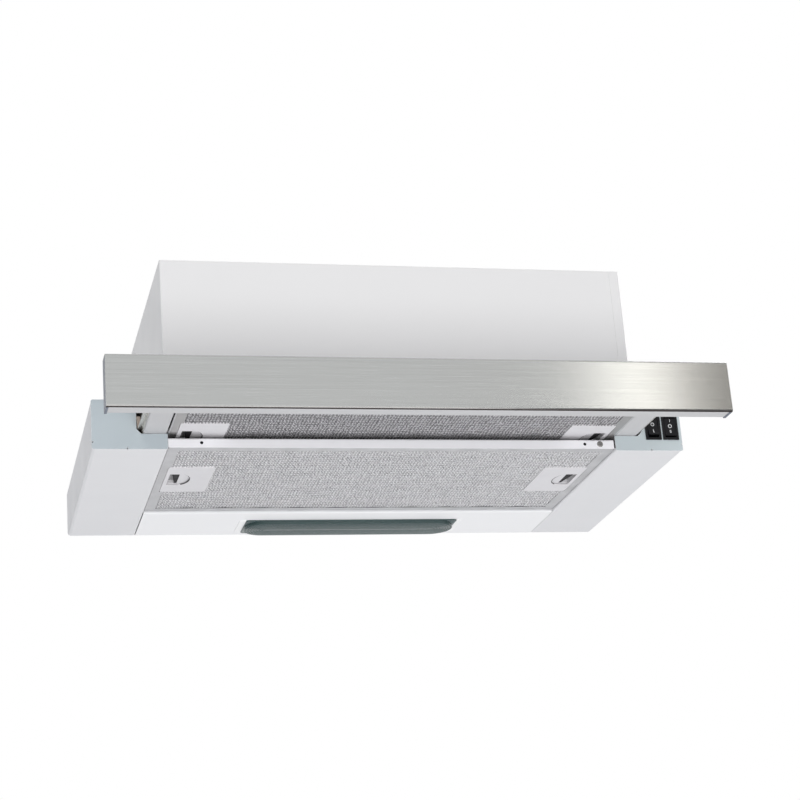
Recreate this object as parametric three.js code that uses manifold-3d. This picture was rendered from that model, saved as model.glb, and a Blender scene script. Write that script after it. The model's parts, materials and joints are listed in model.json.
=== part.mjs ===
// Pull-out range hood for a 600 mm wall cabinet: a low steel body with a blower box on top,
// a filter carriage that slides out on ball runners, and a brushed steel front panel.
//
// Millimetres, +X to the right, +Y to the wall, +Z up. The pieces are laid out from the
// arms' front faces (Y = 0) and the body's underside (Z = 0), and the whole hood is then
// moved so that the origin lies on the ledge that meets the cabinet's underside.

import * as THREE from 'three';
import { mergeVertices } from 'three/addons/utils/BufferGeometryUtils.js';
import Module from 'manifold-3d';

const wasm = await Module();
wasm.setup();

// ---------------------------------------------------------------- driving dimensions

// Clearances
const gap = 0.3;                   // between fitted pieces that may move or come out
const slideGap = 1.0;              // around pieces that pass through a cut-out

// Lower body
const bodyWidth = 598;
const bodyDepth = 300;
const bodyHeight = 50;
const sheet = 0.8;                 // painted steel
const bend = 1.0;                  // inside radius of a fold
const armBend = 2.5;               // inside radius of the arms' outer folds
const armUpstand = 13;             // the arm's inner edge, folded up
const notchChamfer = 4.5;          // of the runners' notches in the arms' fronts
const foldCut = 1.2;               // relief cuts at the fronts' folded edges
const foldCutRise = 7;
const foldCutInset = 34;           // from the body's sides
const rearFold = 12;               // the rear wall's top edge, folded in under the deck
const deckFlange = 6.5;            // edges of the deck and the front rail, folded down
const deckHoleWidth = 320;         // air passage in the deck, under the blower
const deckHoleDepth = 122;
const deckHoleX = -20;             // its middle
const deckHoleInset = 16;          // from the body's rear
const deckHoleCorner = 8;
const fixingHole = 4.5;            // screw holes for the cabinet
const fixingInset = 24;            // from the body's sides
const fixingFront = 60;
const fixingRear = 60;             // from the body's rear

// Crossbar between the arms
const barBottom = 2;
const barTop = 11.5;
const barLip = 9;
const barTab = 12;                 // end tabs, folded back along the arms
const barHole = 3.2;
const barHoleInset = 32.4;         // from the bar's ends
const barScrewInset = 16.4;

// Blower box
const boxLeftInset = 72.4;         // from the body's sides
const boxRightInset = 41.7;
const boxFront = 17;
const boxTop = 204.4;
const boxSeam = 10.6;              // the right side's flange over the front
const seamNotch = 2;               // at the flange's top corner
const boxRearFlange = 12;
const lidRim = 11;

// Rear lamp panel
const lampPanelUpstand = 11;
const lampPanelMargin = 27.5;      // in front of the lens
const lampCentreX = 6;
const lensWidth = 236;
const lensDepth = 47;
const lensInset = 10;              // from the body's rear
const lensCorner = 3.5;
const lensSeat = 5;                // width of the lens against the panel
const lensFlange = 1.4;            // thickness round the dome
const lensRim = 3.5;               // width of the flange round the dome
const lensStep = 1.6;              // at the dome's edge
const lensBulge = 4.6;             // of the dome, below the panel
const lensWall = 1.8;
const lensRibs = 4;                // rings of them, from the dome's edge to its middle
const lensRibDepth = 0.5;
const reflectorHeight = 34;
const reflectorOverrun = 16;       // past each end of the lens opening
const reflectorSheet = 0.6;
const reflectorFlange = 3;         // in front of the lens
const bulbRadius = 12.5;
const bulbLength = 74;
const bulbHeight = 18.5;           // of its axis
const socketRadius = 14;
const socketLength = 34;

// Filter cassettes, two alike
const filterSideRoom = 1.4;        // to the arms
const filterEndRoom = 0.4;         // to the lamp panel
const filterHeight = 8.3;
const filterBorder = 10;
const filterSkin = 0.7;
const filterPitchX = 40;           // coarse embossing of the mesh pack
const filterPitchY = 26;
const filterEmboss = 0.9;
const rearFilterZ = 2.1;
const frontFilterZ = 15;

// Filter latches
const latchWidth = 46.5;
const latchOverlap = 3;            // over the filter's border
const latchDepth = 81;
const latchStart = 63;             // from the filter's front edge
const latchHeight = 7.3;
const latchSkin = 1.2;
const latchSlotHalf = 18;          // finger recess, half its length
const latchRecess = 22;            // finger recess, across
const latchRecessInset = 4;        // from the plate's outer edge
const latchPocket = 11;            // width of the pocket behind the recess
const latchTravel = 5.5;
const latchTongueHalf = 10;
const latchTongueLow = 3;          // above the filter's underside
const latchTongueHigh = 5.6;
const latchReach = 5;              // of the tongue, past the filter's side

// Carriage
const panelInset = 1;              // from the body's sides
const panelFace = -134;
const panelBottom = -4.7;
const panelTop = 46;
const panelSheet = 1;
const panelDepth = 20;
const panelHem = 2.4;
const carrierFront = -131;
const carrierBottom = -4.2;
const carrierSheet = 1;
const carrierLip = 12;
const capThickness = 2.5;
const beamWidth = 23;
const beamRoom = 2;                // to the filter
const beamBottom = 16;
const beamTop = 42;
const beamSheet = 1;
const railLedge = 6;               // under a filter's edge
const carriageRailHeight = 16;
const rearRailTop = 26;
const rearRailRoom = 4.9;          // behind the filter
const coverDepth = 175;            // of the carriage's top cover
const closedRoom = 0.5;            // from the panel to the arms with the carriage closed
const closedRearRoom = 2.5;        // from the beams to the lamp
const openingTravel = 40;

// Ball runners
const runnerSheet = 1;
const runnerInnerHeight = 17;
const runnerInnerWidth = 5;
const runnerOuterHeight = 26;
const runnerOuterWidth = 9.4;
const runnerCentreZ = 28.5;
const runnerOuterFront = 2;
const runnerStop = 2;              // thickness of the outer rail's front stop
const runnerOuterRoom = 0.5;       // behind the inner rail with the carriage closed
const runnerInnerInset = 4;        // behind the panel
const runnerBracketFront = 45;
const runnerBracketFoot = 14;
const cageSheet = 0.8;
const cageEnd = 3;                 // from the rails' ends with the carriage fully out
const ballPitch = 26;

// Rocker switches
const rockerBezelHeight = 26;
const rockerBezelBottom = 11.5;
const rockerBezelDepth = 1.6;
const rockerFrame = 1.6;
const rockerBody = 23;             // behind the arm's front face
const rockerInset = 3.5;           // from the body's right side
const fanRockerWidth = 17;
const lightRockerWidth = 16.7;
const rockerSpacing = 1.8;
const rockerRoom = 0.6;            // to the ball runner
const rockerPivotY = 4.5;
const rockerRise = 7.2;            // of the rocker's ends above its pivot
const rockerDip = 1.5;             // of its middle
const rockerTilt = -7;             // degrees, with the light switched off

// Blower
const blowerX = 15;                // centre plane
const blowerY = 118;               // shaft
const blowerZ = 128;
const scrollWidth = 116;
const scrollWall = 2;
const scrollGrowth = 27;           // of the spiral's radius, from the tongue to the throat
const tongueGap = 5;               // from the impeller to the tongue
const tongueAngle = 68;            // degrees from +Y
const inletRadius = 43;
const impellerRadius = 48;
const impellerRoom = 7;            // to the scroll's outer faces
const bladeDepth = 9;
const bladeCount = 24;
const bladeThickness = 1.1;
const bladeLean = 26;              // degrees that a blade bends forward
const ringHeight = 4;
const hubRadius = 11;
const hubLength = 22;
const discThickness = 2;
const shaftRadius = 4;
const motorRadius = 33;
const motorGap = 4;                // to the impeller's disc and hub
const bracketThickness = 2;

// Outlet
const outletRadius = 60;
const outletWall = 1.8;
const outletHeight = 25;
const outletFlangeWidth = 14;
const outletFlangeHeight = 2;
const flapPinRadius = 1.4;
const flapPinRise = 8;             // above the lid
const flapThickness = 1.2;
const flapBarrel = 3.2;
const flapLedge = 4;
const flapNotch = 1.6;             // clear of the collar's bosses as a flap swings

// Electrics in the box
const capacitorRadius = 15;
const capacitorHeight = 52;
const capacitorSpout = 4;
const capacitorInset = 61.3;       // from the box's right side
const capacitorY = 70;
const terminalWidth = 74;
const terminalDepth = 44;
const terminalHeight = 34;
const terminalInset = 23.3;        // from the box's right side
const terminalRearInset = 18;      // from the body's rear
const glandInset = 35.3;           // from the box's right side
const glandRearInset = 38;         // from the body's rear
const glandRadius = 9;
const glandBore = 4.2;
const glandHeight = 12;
const glandDepth = 7;              // below the lid

// ---------------------------------------------------------------- sizes that follow

// Across the hood, from the body's side inwards
const bodyHalf = bodyWidth / 2;
const fanRockerRight = bodyHalf - rockerInset;
const fanRockerLeft = fanRockerRight - fanRockerWidth;
const lightRockerRight = fanRockerLeft - rockerSpacing;
const lightRockerLeft = lightRockerRight - lightRockerWidth;
const runnerWeb = lightRockerLeft - rockerRoom;
const beamOuter = runnerWeb - runnerOuterWidth;
const beamInner = beamOuter - beamWidth;
const filterHalf = beamInner - beamRoom;
const armInner = filterHalf + filterSideRoom;
const notchEdge = beamOuter + runnerInnerWidth + slideGap;
const boxLeft = boxLeftInset - bodyHalf;
const boxRight = bodyHalf - boxRightInset;

// From the wall forwards
const rearInner = bodyDepth - sheet;
const lensRear = bodyDepth - lensInset;
const lensFront = lensRear - lensDepth;
const reflectorFront = lensFront - reflectorFlange;
const lampPanelFront = lensFront - lampPanelMargin;
const rearFilterY = sheet + gap;
const filterDepth = lampPanelFront - filterEndRoom - rearFilterY;
const carrierRear = panelFace + panelDepth;
const closingTravel = -carrierRear - closedRoom;
const beamRear = reflectorFront - closedRearRoom - closingTravel;
const frontFilterY = beamRear - rearRailRoom - filterDepth;
const runnerInnerFront = carrierRear + runnerInnerInset;
const runnerOuterRear = beamRear + closingTravel + runnerOuterRoom;

// Heights, and the blower
const deckUnderside = bodyHeight - sheet;
const notchBottom = beamBottom - gap;
const notchTop = beamTop + sheet + gap;
const lidUnderside = boxTop - sheet;
const foldRoom = sheet + bend + gap;  // clear of a fold's inside corner
const impellerInner = impellerRadius - bladeDepth;
const impellerWidth = scrollWidth - 2 * impellerRoom;
const scrollHalf = scrollWidth / 2;
const scrollStart = impellerRadius + tongueGap;
const scrollEnd = scrollStart + scrollGrowth;
const tongue = THREE.MathUtils.degToRad(tongueAngle);
const outletX = blowerX;
const outletY = blowerY + (scrollEnd + scrollStart * Math.cos(tongue)) / 2;
const outletFlange = outletRadius + outletFlangeWidth;

// ---------------------------------------------------------------- materials

function finish(color, roughness, metalness) {
  return new THREE.MeshStandardMaterial({ color, roughness, metalness });
}

const whitePaint = finish(0xe2e3e6, 0.45, 0.0);
const bluePaint = finish(0xd2d8dc, 0.45, 0.0);
const brushedSteel = finish(0xb6b7b4, 0.32, 1.0);
const slatePlastic = finish(0x6e7480, 0.5, 0.0);
const whitePlastic = finish(0xe4e4e6, 0.5, 0.0);
const aluminium = finish(0xc4c3c6, 0.4, 1.0);
const zinc = finish(0xb9b4a6, 0.35, 1.0);
const ballSteel = finish(0xd6d6d8, 0.15, 1.0);
const blackPlastic = finish(0x141416, 0.35, 0.0);
const greyPlastic = finish(0x4a4d50, 0.6, 0.0);
const lensPlastic = finish(0x6f8686, 0.25, 0.0);
const bulbGlass = finish(0xf0efe8, 0.3, 0.0);
const ceramic = finish(0xece8de, 0.7, 0.0);
const castMetal = finish(0x8d9094, 0.5, 0.9);

// ---------------------------------------------------------------- shaping

const curveSteps = 3;
const bendSteps = 2;
const reach = 400;                 // longer than anything that it cuts

function point(x, y) {
  return new THREE.Vector2(x, y);
}

function signedVolume(positions, triangles) {
  const a = new THREE.Vector3();
  const b = new THREE.Vector3();
  const c = new THREE.Vector3();
  let volume = 0;
  for (let i = 0; i < triangles.length; i += 3) {
    a.fromArray(positions, 3 * triangles[i]);
    b.fromArray(positions, 3 * triangles[i + 1]);
    c.fromArray(positions, 3 * triangles[i + 2]);
    volume += a.dot(b.cross(c)) / 6;
  }
  return volume;
}

// A closed three.js geometry as a solid that can be cut and joined.
function solid(geometry) {
  const bare = geometry.clone();
  bare.deleteAttribute('normal');
  bare.deleteAttribute('uv');
  const merged = mergeVertices(bare, 1e-4);
  const index = merged.getIndex().array;
  const positions = Float32Array.from(merged.getAttribute('position').array);
  const kept = [];
  for (let i = 0; i < index.length; i += 3) {
    const [a, b, c] = [index[i], index[i + 1], index[i + 2]];
    if (a !== b && b !== c && c !== a) kept.push(a, b, c);
  }
  if (signedVolume(positions, kept) < 0) kept.reverse();
  const mesh = { numProp: 3, vertProperties: positions, triVerts: Uint32Array.from(kept) };
  return new wasm.Manifold(new wasm.Mesh(mesh));
}

function geometryOf(body) {
  const mesh = body.getMesh();
  const geometry = new THREE.BufferGeometry();
  geometry.setAttribute('position', new THREE.BufferAttribute(mesh.vertProperties, 3));
  geometry.setIndex(new THREE.BufferAttribute(mesh.triVerts, 1));
  geometry.computeVertexNormals();
  return geometry;
}

function extruded(shape, length) {
  return new THREE.ExtrudeGeometry(shape, { depth: length, bevelEnabled: false, curveSegments: curveSteps });
}

// A section in Y and Z, run along X.
function alongX(shape, from, to) {
  const turned = new THREE.Matrix4().set(0, 0, 1, from, 1, 0, 0, 0, 0, 1, 0, 0, 0, 0, 0, 1);
  return solid(extruded(shape, to - from).applyMatrix4(turned));
}

// A section in X and Z, run along Y.
function alongY(shape, from, to) {
  return solid(extruded(shape, to - from).rotateX(Math.PI / 2).translate(0, to, 0));
}

// An outline in X and Y, run along Z.
function alongZ(shape, from, to) {
  return solid(extruded(shape, to - from).translate(0, 0, from));
}

function rectangle(left, low, right, high) {
  return new THREE.Shape([point(left, low), point(right, low), point(right, high), point(left, high)]);
}

function arc(x, y, radius, from, to, steps) {
  const spots = [];
  for (let i = 0; i <= steps; i++) {
    const angle = from + (to - from) * i / steps;
    spots.push(point(x + radius * Math.cos(angle), y + radius * Math.sin(angle)));
  }
  return spots;
}

function roundedRectangle(left, low, right, high, radius) {
  const quarter = Math.PI / 2;
  const steps = radius > 10 ? 6 : 2;
  return new THREE.Shape([
    ...arc(right - radius, low + radius, radius, -quarter, 0, steps),
    ...arc(right - radius, high - radius, radius, 0, quarter, steps),
    ...arc(left + radius, high - radius, radius, quarter, 2 * quarter, steps),
    ...arc(left + radius, low + radius, radius, 2 * quarter, 3 * quarter, steps),
  ]);
}

function discSteps(radius) {
  return THREE.MathUtils.clamp(Math.round(8 + radius * 0.4), 10, 28);
}

function disc(x, y, radius) {
  const steps = discSteps(radius);
  return new THREE.Shape(arc(x, y, radius, 0, 2 * Math.PI * (1 - 1 / steps), steps - 1));
}

// A hole whose flats, not its corners, lie at the radius, so that a round piece passes.
function hole(x, y, radius) {
  return disc(x, y, radius / Math.cos(Math.PI / discSteps(radius)));
}

function block(left, front, low, right, rear, high) {
  return alongZ(rectangle(left, front, right, rear), low, high);
}

// A turned piece, its profile given as [radius, height] pairs, standing on a centre.
function turnedZ(profile, x, y, z, steps = 40) {
  const points = profile.map(([radius, height]) => point(radius, height));
  return solid(new THREE.LatheGeometry(points, steps).rotateX(Math.PI / 2).translate(x, y, z));
}

// The same, lying along X.
function turnedX(profile, x, y, z, steps = 20) {
  const points = profile.map(([radius, height]) => point(radius, height));
  return solid(new THREE.LatheGeometry(points, steps).rotateZ(-Math.PI / 2).translate(x, y, z));
}

function rodX(radius, from, to, y, z, steps = 14) {
  return turnedX([[0, 0], [radius, 0], [radius, to - from], [0, to - from]], from, y, z, steps);
}

function joined(bodies) {
  return bodies.reduce((whole, body) => whole.add(body));
}

// The section of a folded sheet. The corners lie on one face, and the metal is on the left
// of their path (side 1) or on its right (side -1).
function meshBody(spots, triangles) {
  const geometry = new THREE.BufferGeometry();
  geometry.setAttribute('position', new THREE.Float32BufferAttribute(spots, 3));
  geometry.setIndex(triangles);
  return solid(geometry);
}

// A body through rings of as many points each, from its foot up, with a fan over either end.
function lofted(rings) {
  const around = rings[0].length;
  const last = rings.length - 1;
  const spots = rings.flat(2);
  const triangles = [];
  for (let level = 0; level < last; level++) {
    for (let i = 0; i < around; i++) {
      const a = level * around + i;
      const b = level * around + (i + 1) % around;
      triangles.push(a, b, b + around, a, b + around, a + around);
    }
  }
  for (const [end, first, second] of [[0, 1, 0], [last, 0, 1]]) {
    const centre = spots.length / 3;
    for (const axis of [0, 1, 2]) {
      spots.push(rings[end].reduce((sum, spot) => sum + spot[axis], 0) / around);
    }
    for (let i = 0; i < around; i++) {
      const pair = [end * around + i, end * around + (i + 1) % around];
      triangles.push(centre, pair[first], pair[second]);
    }
  }
  return meshBody(spots, triangles);
}

// The folds' inside radius is one number, or a number for each corner in turn.
function foldedSheet(corners, thickness, side = 1, radius = bend) {
  const face = [];
  const back = [];
  const last = corners.length - 1;
  const origin = point(0, 0);
  const way = (i) => corners[i + 1].clone().sub(corners[i]).normalize();
  const put = (spot, direction) => {
    const normal = point(-direction.y, direction.x).multiplyScalar(side * thickness);
    face.push(spot);
    back.unshift(spot.clone().add(normal));
  };
  put(corners[0], way(0));
  for (let i = 1; i < last; i++) {
    const before = way(i - 1);
    const after = way(i);
    const turn = Math.atan2(before.cross(after), before.dot(after));
    const inside = Array.isArray(radius) ? radius[i - 1] : radius;
    const round = Math.sign(turn) === side ? inside + thickness : inside;
    const start = corners[i].clone().addScaledVector(before, -round * Math.tan(Math.abs(turn) / 2));
    const across = point(-before.y, before.x).multiplyScalar(Math.sign(turn) * round);
    const centre = start.clone().add(across);
    for (let k = 0; k <= bendSteps; k++) {
      const angle = turn * k / bendSteps;
      put(start.clone().rotateAround(centre, angle), before.clone().rotateAround(origin, angle));
    }
  }
  put(corners[last], way(last - 1));
  return new THREE.Shape([...face, ...back]);
}

// Corners given as [distance from the centre line, height] on one side of the hood.
function onSide(side, corners) {
  return corners.map(([out, height]) => point(side * out, height));
}

function sideBlock(side, inner, front, low, outer, rear, high) {
  const [left, right] = side < 0 ? [-outer, -inner] : [inner, outer];
  return block(left, front, low, right, rear, high);
}

// ---------------------------------------------------------------- the assembly

const hood = new THREE.Group();
hood.name = 'pull_out_hood';
hood.position.set(0, -boxFront / 2, -bodyHeight);

const frame = new THREE.Group();
const carriage = new THREE.Group();
hood.add(frame, carriage);

function add(group, name, shape, material) {
  const mesh = new THREE.Mesh(geometryOf(shape), material);
  mesh.name = name;
  group.add(mesh);
  return mesh;
}

const sides = [{ side: -1, word: 'left' }, { side: 1, word: 'right' }];

// ---------------------------------------------------------------- lower body

const latchMiddle = latchStart + latchDepth / 2;

// The slot that a filter latch's tongue enters, in a wall at the filter's side.
function tongueSlot(side, wall, thickness, filterY, filterZ) {
  const middle = filterY + latchMiddle;
  const half = latchTongueHalf + slideGap;
  const low = filterZ + latchTongueLow - gap;
  const high = filterZ + latchTongueHigh + gap;
  return sideBlock(side, wall - 1, middle - half, low, wall + thickness + 1, middle + half, high);
}

const rockers = [
  { name: 'light', left: lightRockerLeft, right: lightRockerRight, tilt: rockerTilt },
  { name: 'fan', left: fanRockerLeft, right: fanRockerRight, tilt: 0 },
];

function rockerOpening({ left, right }, inset) {
  const low = rockerBezelBottom + inset;
  const high = rockerBezelBottom + rockerBezelHeight - inset;
  return rectangle(left + inset, low, right - inset, high);
}

// An arm is a box section, open along its inner side, and its top is the cabinet's seat.
function buildArm({ side, word }) {
  const lipEdge = (side < 0 ? -boxLeft : boxRight) + gap;
  const corners = onSide(side, [
    [armInner, armUpstand], [armInner, 0], [bodyHalf, 0],
    [bodyHalf, bodyHeight], [lipEdge, bodyHeight],
  ]);
  const folds = [bend, armBend, armBend];
  let arm = alongY(foldedSheet(corners, sheet, side, folds), 0, rearInner);
  const [left, right] = side < 0 ? [-bodyHalf, -armInner] : [armInner, bodyHalf];
  const face = alongY(roundedRectangle(left, 0, right, bodyHeight, bend + sheet), 0, sheet);
  const notch = alongY(new THREE.Shape(onSide(side, [
    [armInner - 1, notchBottom], [notchEdge - notchChamfer, notchBottom],
    [notchEdge, notchBottom + notchChamfer], [notchEdge, notchTop], [armInner - 1, notchTop],
  ])), -1, sheet + 1);
  const corner = sideBlock(side, armInner - 1, -1, notchTop - 1, lipEdge, sheet + 1, bodyHeight + 1);
  arm = arm.add(face.subtract(notch).subtract(corner));
  arm = arm.subtract(tongueSlot(side, armInner, sheet, rearFilterY, rearFilterZ));
  const cut = foldCut / 2;
  const deep = 2 * sheet;
  arm = arm.subtract(sideBlock(
    side, bodyHalf - deep, -1, foldCutRise - cut, bodyHalf + 1, deep, foldCutRise + cut));
  arm = arm.subtract(sideBlock(
    side, bodyHalf - foldCutInset - cut, -1, -1, bodyHalf - foldCutInset + cut, deep, deep));
  if (side > 0) {
    for (const rocker of rockers) {
      arm = arm.subtract(alongY(rockerOpening(rocker, rockerFrame - gap), -1, sheet + 1));
    }
  }
  const x = side * (bodyHalf - fixingInset);
  for (const y of [fixingFront, bodyDepth - fixingRear]) {
    arm = arm.subtract(alongZ(hole(x, y, fixingHole / 2), deckUnderside - 1, bodyHeight + 1));
  }
  add(frame, `${word}_arm`, arm, bluePaint);
}

// The deck carries the blower box, and lies between the arms and the front rail.
function buildDeck() {
  const flangeLow = bodyHeight - deckFlange;
  const deckMiddle = bodyHeight - sheet / 2;
  const section = [
    point(boxLeft, flangeLow), point(boxLeft, bodyHeight),
    point(boxRight, bodyHeight), point(boxRight, flangeLow),
  ];
  const front = boxFront - slideGap;
  const rear = bodyDepth - deckHoleInset;
  const [left, right] = [deckHoleX - deckHoleWidth / 2, deckHoleX + deckHoleWidth / 2];
  const passage = roundedRectangle(left, rear - deckHoleDepth, right, rear, deckHoleCorner);
  const deck = joined([
    alongY(foldedSheet(section, sheet, -1), front, rearInner - gap),
    block(boxLeft + foldRoom, front, flangeLow, boxRight - foldRoom, front + sheet, deckMiddle),
  ]);
  const cut = alongZ(passage, deckUnderside - 1, bodyHeight + 1);
  add(frame, 'top_deck', deck.subtract(cut), whitePaint);

  const railRear = front - gap;
  const rail = [
    point(0, flangeLow), point(0, bodyHeight), point(railRear, bodyHeight), point(railRear, flangeLow),
  ];
  add(frame, 'front_rail', alongX(foldedSheet(rail, sheet, -1), boxLeft, boxRight), whitePaint);
}

function buildRearWall() {
  const corners = [
    point(bodyDepth, 0), point(bodyDepth, deckUnderside), point(bodyDepth - rearFold, deckUnderside),
  ];
  const outline = roundedRectangle(-bodyHalf, 0, bodyHalf, bodyHeight, armBend + sheet);
  const plate = alongY(outline, rearInner, bodyDepth);
  const fold = alongX(foldedSheet(corners, sheet), boxLeft + foldRoom, boxRight - foldRoom);
  add(frame, 'rear_wall', plate.add(fold), whitePaint);
}

function buildCrossbar() {
  const half = armInner - gap;
  const corners = [point(0, barBottom), point(0, barTop), point(barLip, barTop)];
  let bar = alongX(foldedSheet(corners, sheet, -1), -half, half);
  for (const { side } of sides) {
    bar = bar.add(sideBlock(side, half - sheet, 0, barBottom + 1, half, barTab, barTop - sheet));
  }
  const [holeX, screwX] = [armInner - barHoleInset, armInner - barScrewInset];
  for (const x of [-holeX, holeX, screwX]) {
    bar = bar.subtract(alongY(hole(x, (barBottom + barTop) / 2, barHole / 2), -1, sheet + 1));
  }
  add(frame, 'front_crossbar', bar, whitePaint);
}

// ---------------------------------------------------------------- lamp

const lensLeft = lampCentreX - lensWidth / 2;
const lensRight = lampCentreX + lensWidth / 2;
const lampY = lensFront + lensDepth / 2;
const domeHalf = lensDepth / 2 - lensRim;

function lensOutline(inset) {
  const [left, right] = [lensLeft + inset, lensRight - inset];
  return roundedRectangle(left, lensFront + inset, right, lensRear - inset, lensCorner);
}

function buildLampPanel() {
  const corners = [
    point(lampPanelFront, lampPanelUpstand), point(lampPanelFront, 0), point(rearInner, 0),
  ];
  const half = armInner - gap;
  const panel = alongX(foldedSheet(corners, sheet), -half, half);
  add(frame, 'lamp_panel', panel.subtract(alongZ(lensOutline(lensSeat), -1, sheet + 1)), whitePaint);
}

// A level of the lens's dome: a capsule, so far in from the dome's edge.
function lensLevel(inset, z) {
  const end = lensRim + domeHalf;
  const turn = Math.PI / 2;
  const spots = [
    ...arc(lensRight - end, lampY, domeHalf - inset, -turn, turn, 8),
    ...arc(lensLeft + end, lampY, domeHalf - inset, turn, 3 * turn, 8),
  ];
  return spots.map((spot) => [spot.x, spot.y, z]);
}

// The lens is a flat flange round a hollow dome, whose outside is ribbed in rings.
function buildLens() {
  const edgeDepth = lensFlange + lensStep;
  const levels = [];
  for (let i = 2 * lensRibs; i >= 0; i--) {
    const share = i / (2 * lensRibs);
    const depth = edgeDepth + (lensBulge - edgeDepth) * (1 - (1 - share) ** 2);
    const groove = i % 2 === 1 ? lensRibDepth : 0;
    levels.push(lensLevel(lensStep / 2 + share * (domeHalf - lensStep), groove - depth));
  }
  levels.push(lensLevel(0, -lensFlange), lensLevel(0, -lensFlange / 2));
  const hollow = lofted([
    lensLevel(domeHalf / 2, lensWall - lensBulge), lensLevel(lensWall, lensWall - edgeDepth),
    lensLevel(lensWall, 1),
  ]);
  let lens = lofted(levels).add(alongZ(lensOutline(0), -lensFlange, 0)).subtract(hollow);
  const hookHeight = 3;
  const hookReach = 2;
  const postHalf = 4;
  for (const [edge, way] of [[lensLeft, 1], [lensRight, -1]]) {
    const inner = edge + way * (lensSeat + slideGap);
    const web = [edge + way * lensRim, inner + way * hookReach];
    const hook = [inner - way * hookReach, inner + way * hookReach];
    const span = (pair, low, high) => {
      const [left, right] = pair[0] < pair[1] ? pair : [pair[1], pair[0]];
      return block(left, lampY - postHalf, low, right, lampY + postHalf, high);
    };
    lens = lens.add(span(web, -lensFlange, 0)).add(span([inner, hook[1]], -lensFlange, hookHeight));
    lens = lens.add(span(hook, sheet + gap, hookHeight));
  }
  add(frame, 'lamp_lens', lens, lensPlastic);
}

function buildReflector() {
  const slope = 5;
  const foot = lensFront + 2;
  const farFoot = lensRear - 2.5;
  const shoulder = foot + slope;
  const farShoulder = farFoot - slope;
  const top = reflectorHeight;
  const corners = [
    point(reflectorFront, sheet), point(foot, sheet), point(shoulder, top),
    point(farShoulder, top), point(farFoot, sheet), point(rearInner - gap, sheet),
  ];
  const left = lensLeft - reflectorOverrun;
  const right = lensRight + reflectorOverrun;
  let trough = alongX(foldedSheet(corners, reflectorSheet), left, right);
  const skin = reflectorSheet / 2;
  const end = new THREE.Shape([
    point(foot - skin, sheet), point(farFoot + skin, sheet),
    point(farShoulder + skin, top + skin), point(shoulder - skin, top + skin),
  ]);
  end.holes.push(hole(lampY, bulbHeight, socketRadius - 1));
  trough = trough.add(alongX(end, left, left + reflectorSheet));
  trough = trough.add(alongX(end, right - reflectorSheet, right));
  add(frame, 'lamp_reflector', trough, whitePaint);
}

// One lamp, its holder clipped in the reflector's end and its bulb lying along the hood.
function buildLamp({ side, word }) {
  const holder = new THREE.Group();
  const reflectorEnd = side < 0 ? lensLeft - reflectorOverrun : lensRight + reflectorOverrun;
  holder.position.set(reflectorEnd, lampY, bulbHeight);
  if (side > 0) holder.rotation.z = Math.PI;
  frame.add(holder);
  const neck = socketRadius - 1 - gap;
  const capRadius = 7;
  const capLength = 15;
  const front = socketLength - capLength;
  const socket = turnedX([
    [0, -capLength], [socketRadius, -capLength], [socketRadius, 0], [neck, 0], [neck, front],
    [capRadius + gap, front], [capRadius + gap, 2], [0, 2],
  ], 0, 0, 0);
  const bulb = turnedX([
    [0, 2 + gap], [capRadius, 2 + gap], [capRadius, front + 1], [bulbRadius, front + 9],
    [bulbRadius, bulbLength - 7], [bulbRadius * 0.7, bulbLength - 1.5], [0, bulbLength],
  ], 0, 0, 0);
  add(holder, `lamp_socket_${word}`, socket, ceramic);
  add(holder, `bulb_${word}`, bulb, bulbGlass);
}

// ---------------------------------------------------------------- filters

// The wire pack: a slab whose underside is embossed in a grid of shallow pyramids.
function meshPack() {
  const half = filterHalf - filterSkin - gap;
  const front = filterSkin + gap;
  const rear = filterDepth - front;
  const low = filterSkin + gap + filterEmboss;
  const high = filterHeight - filterSkin - gap;
  const columns = Math.round(2 * half / filterPitchX);
  const rows = Math.round((rear - front) / filterPitchY);
  const spots = [];
  const triangles = [];
  const corner = (column, row) => row * (columns + 1) + column;
  for (let row = 0; row <= rows; row++) {
    for (let column = 0; column <= columns; column++) {
      spots.push(-half + 2 * half * column / columns, front + (rear - front) * row / rows, low);
    }
  }
  for (let row = 0; row < rows; row++) {
    for (let column = 0; column < columns; column++) {
      const peak = spots.length / 3;
      const x = -half + 2 * half * (column + 0.5) / columns;
      const y = front + (rear - front) * (row + 0.5) / rows;
      spots.push(x, y, low - filterEmboss);
      const ring = [
        corner(column, row), corner(column + 1, row),
        corner(column + 1, row + 1), corner(column, row + 1),
      ];
      for (let i = 0; i < 4; i++) triangles.push(peak, ring[(i + 1) % 4], ring[i]);
    }
  }
  const edge = [];
  for (let column = 0; column < columns; column++) edge.push(corner(column, 0));
  for (let row = 0; row < rows; row++) edge.push(corner(columns, row));
  for (let column = columns; column > 0; column--) edge.push(corner(column, rows));
  for (let row = rows; row > 0; row--) edge.push(corner(0, row));
  const firstTop = spots.length / 3;
  for (const low of edge) spots.push(spots[3 * low], spots[3 * low + 1], high);
  for (let i = 0; i < edge.length; i++) {
    const next = (i + 1) % edge.length;
    triangles.push(edge[i], edge[next], firstTop + next, edge[i], firstTop + next, firstTop + i);
  }
  const rim = edge.map((low) => point(spots[3 * low], spots[3 * low + 1]));
  for (const [a, b, c] of THREE.ShapeUtils.triangulateShape(rim, [])) {
    triangles.push(firstTop + a, firstTop + b, firstTop + c);
  }
  return meshBody(spots, triangles);
}

const latchOuter = filterHalf - filterBorder + latchOverlap - gap;
const latchInner = latchOuter - latchWidth;
const latchCavityHalf = latchSlotHalf + 6 + gap;
const latchRoof = 0.8;

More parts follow.
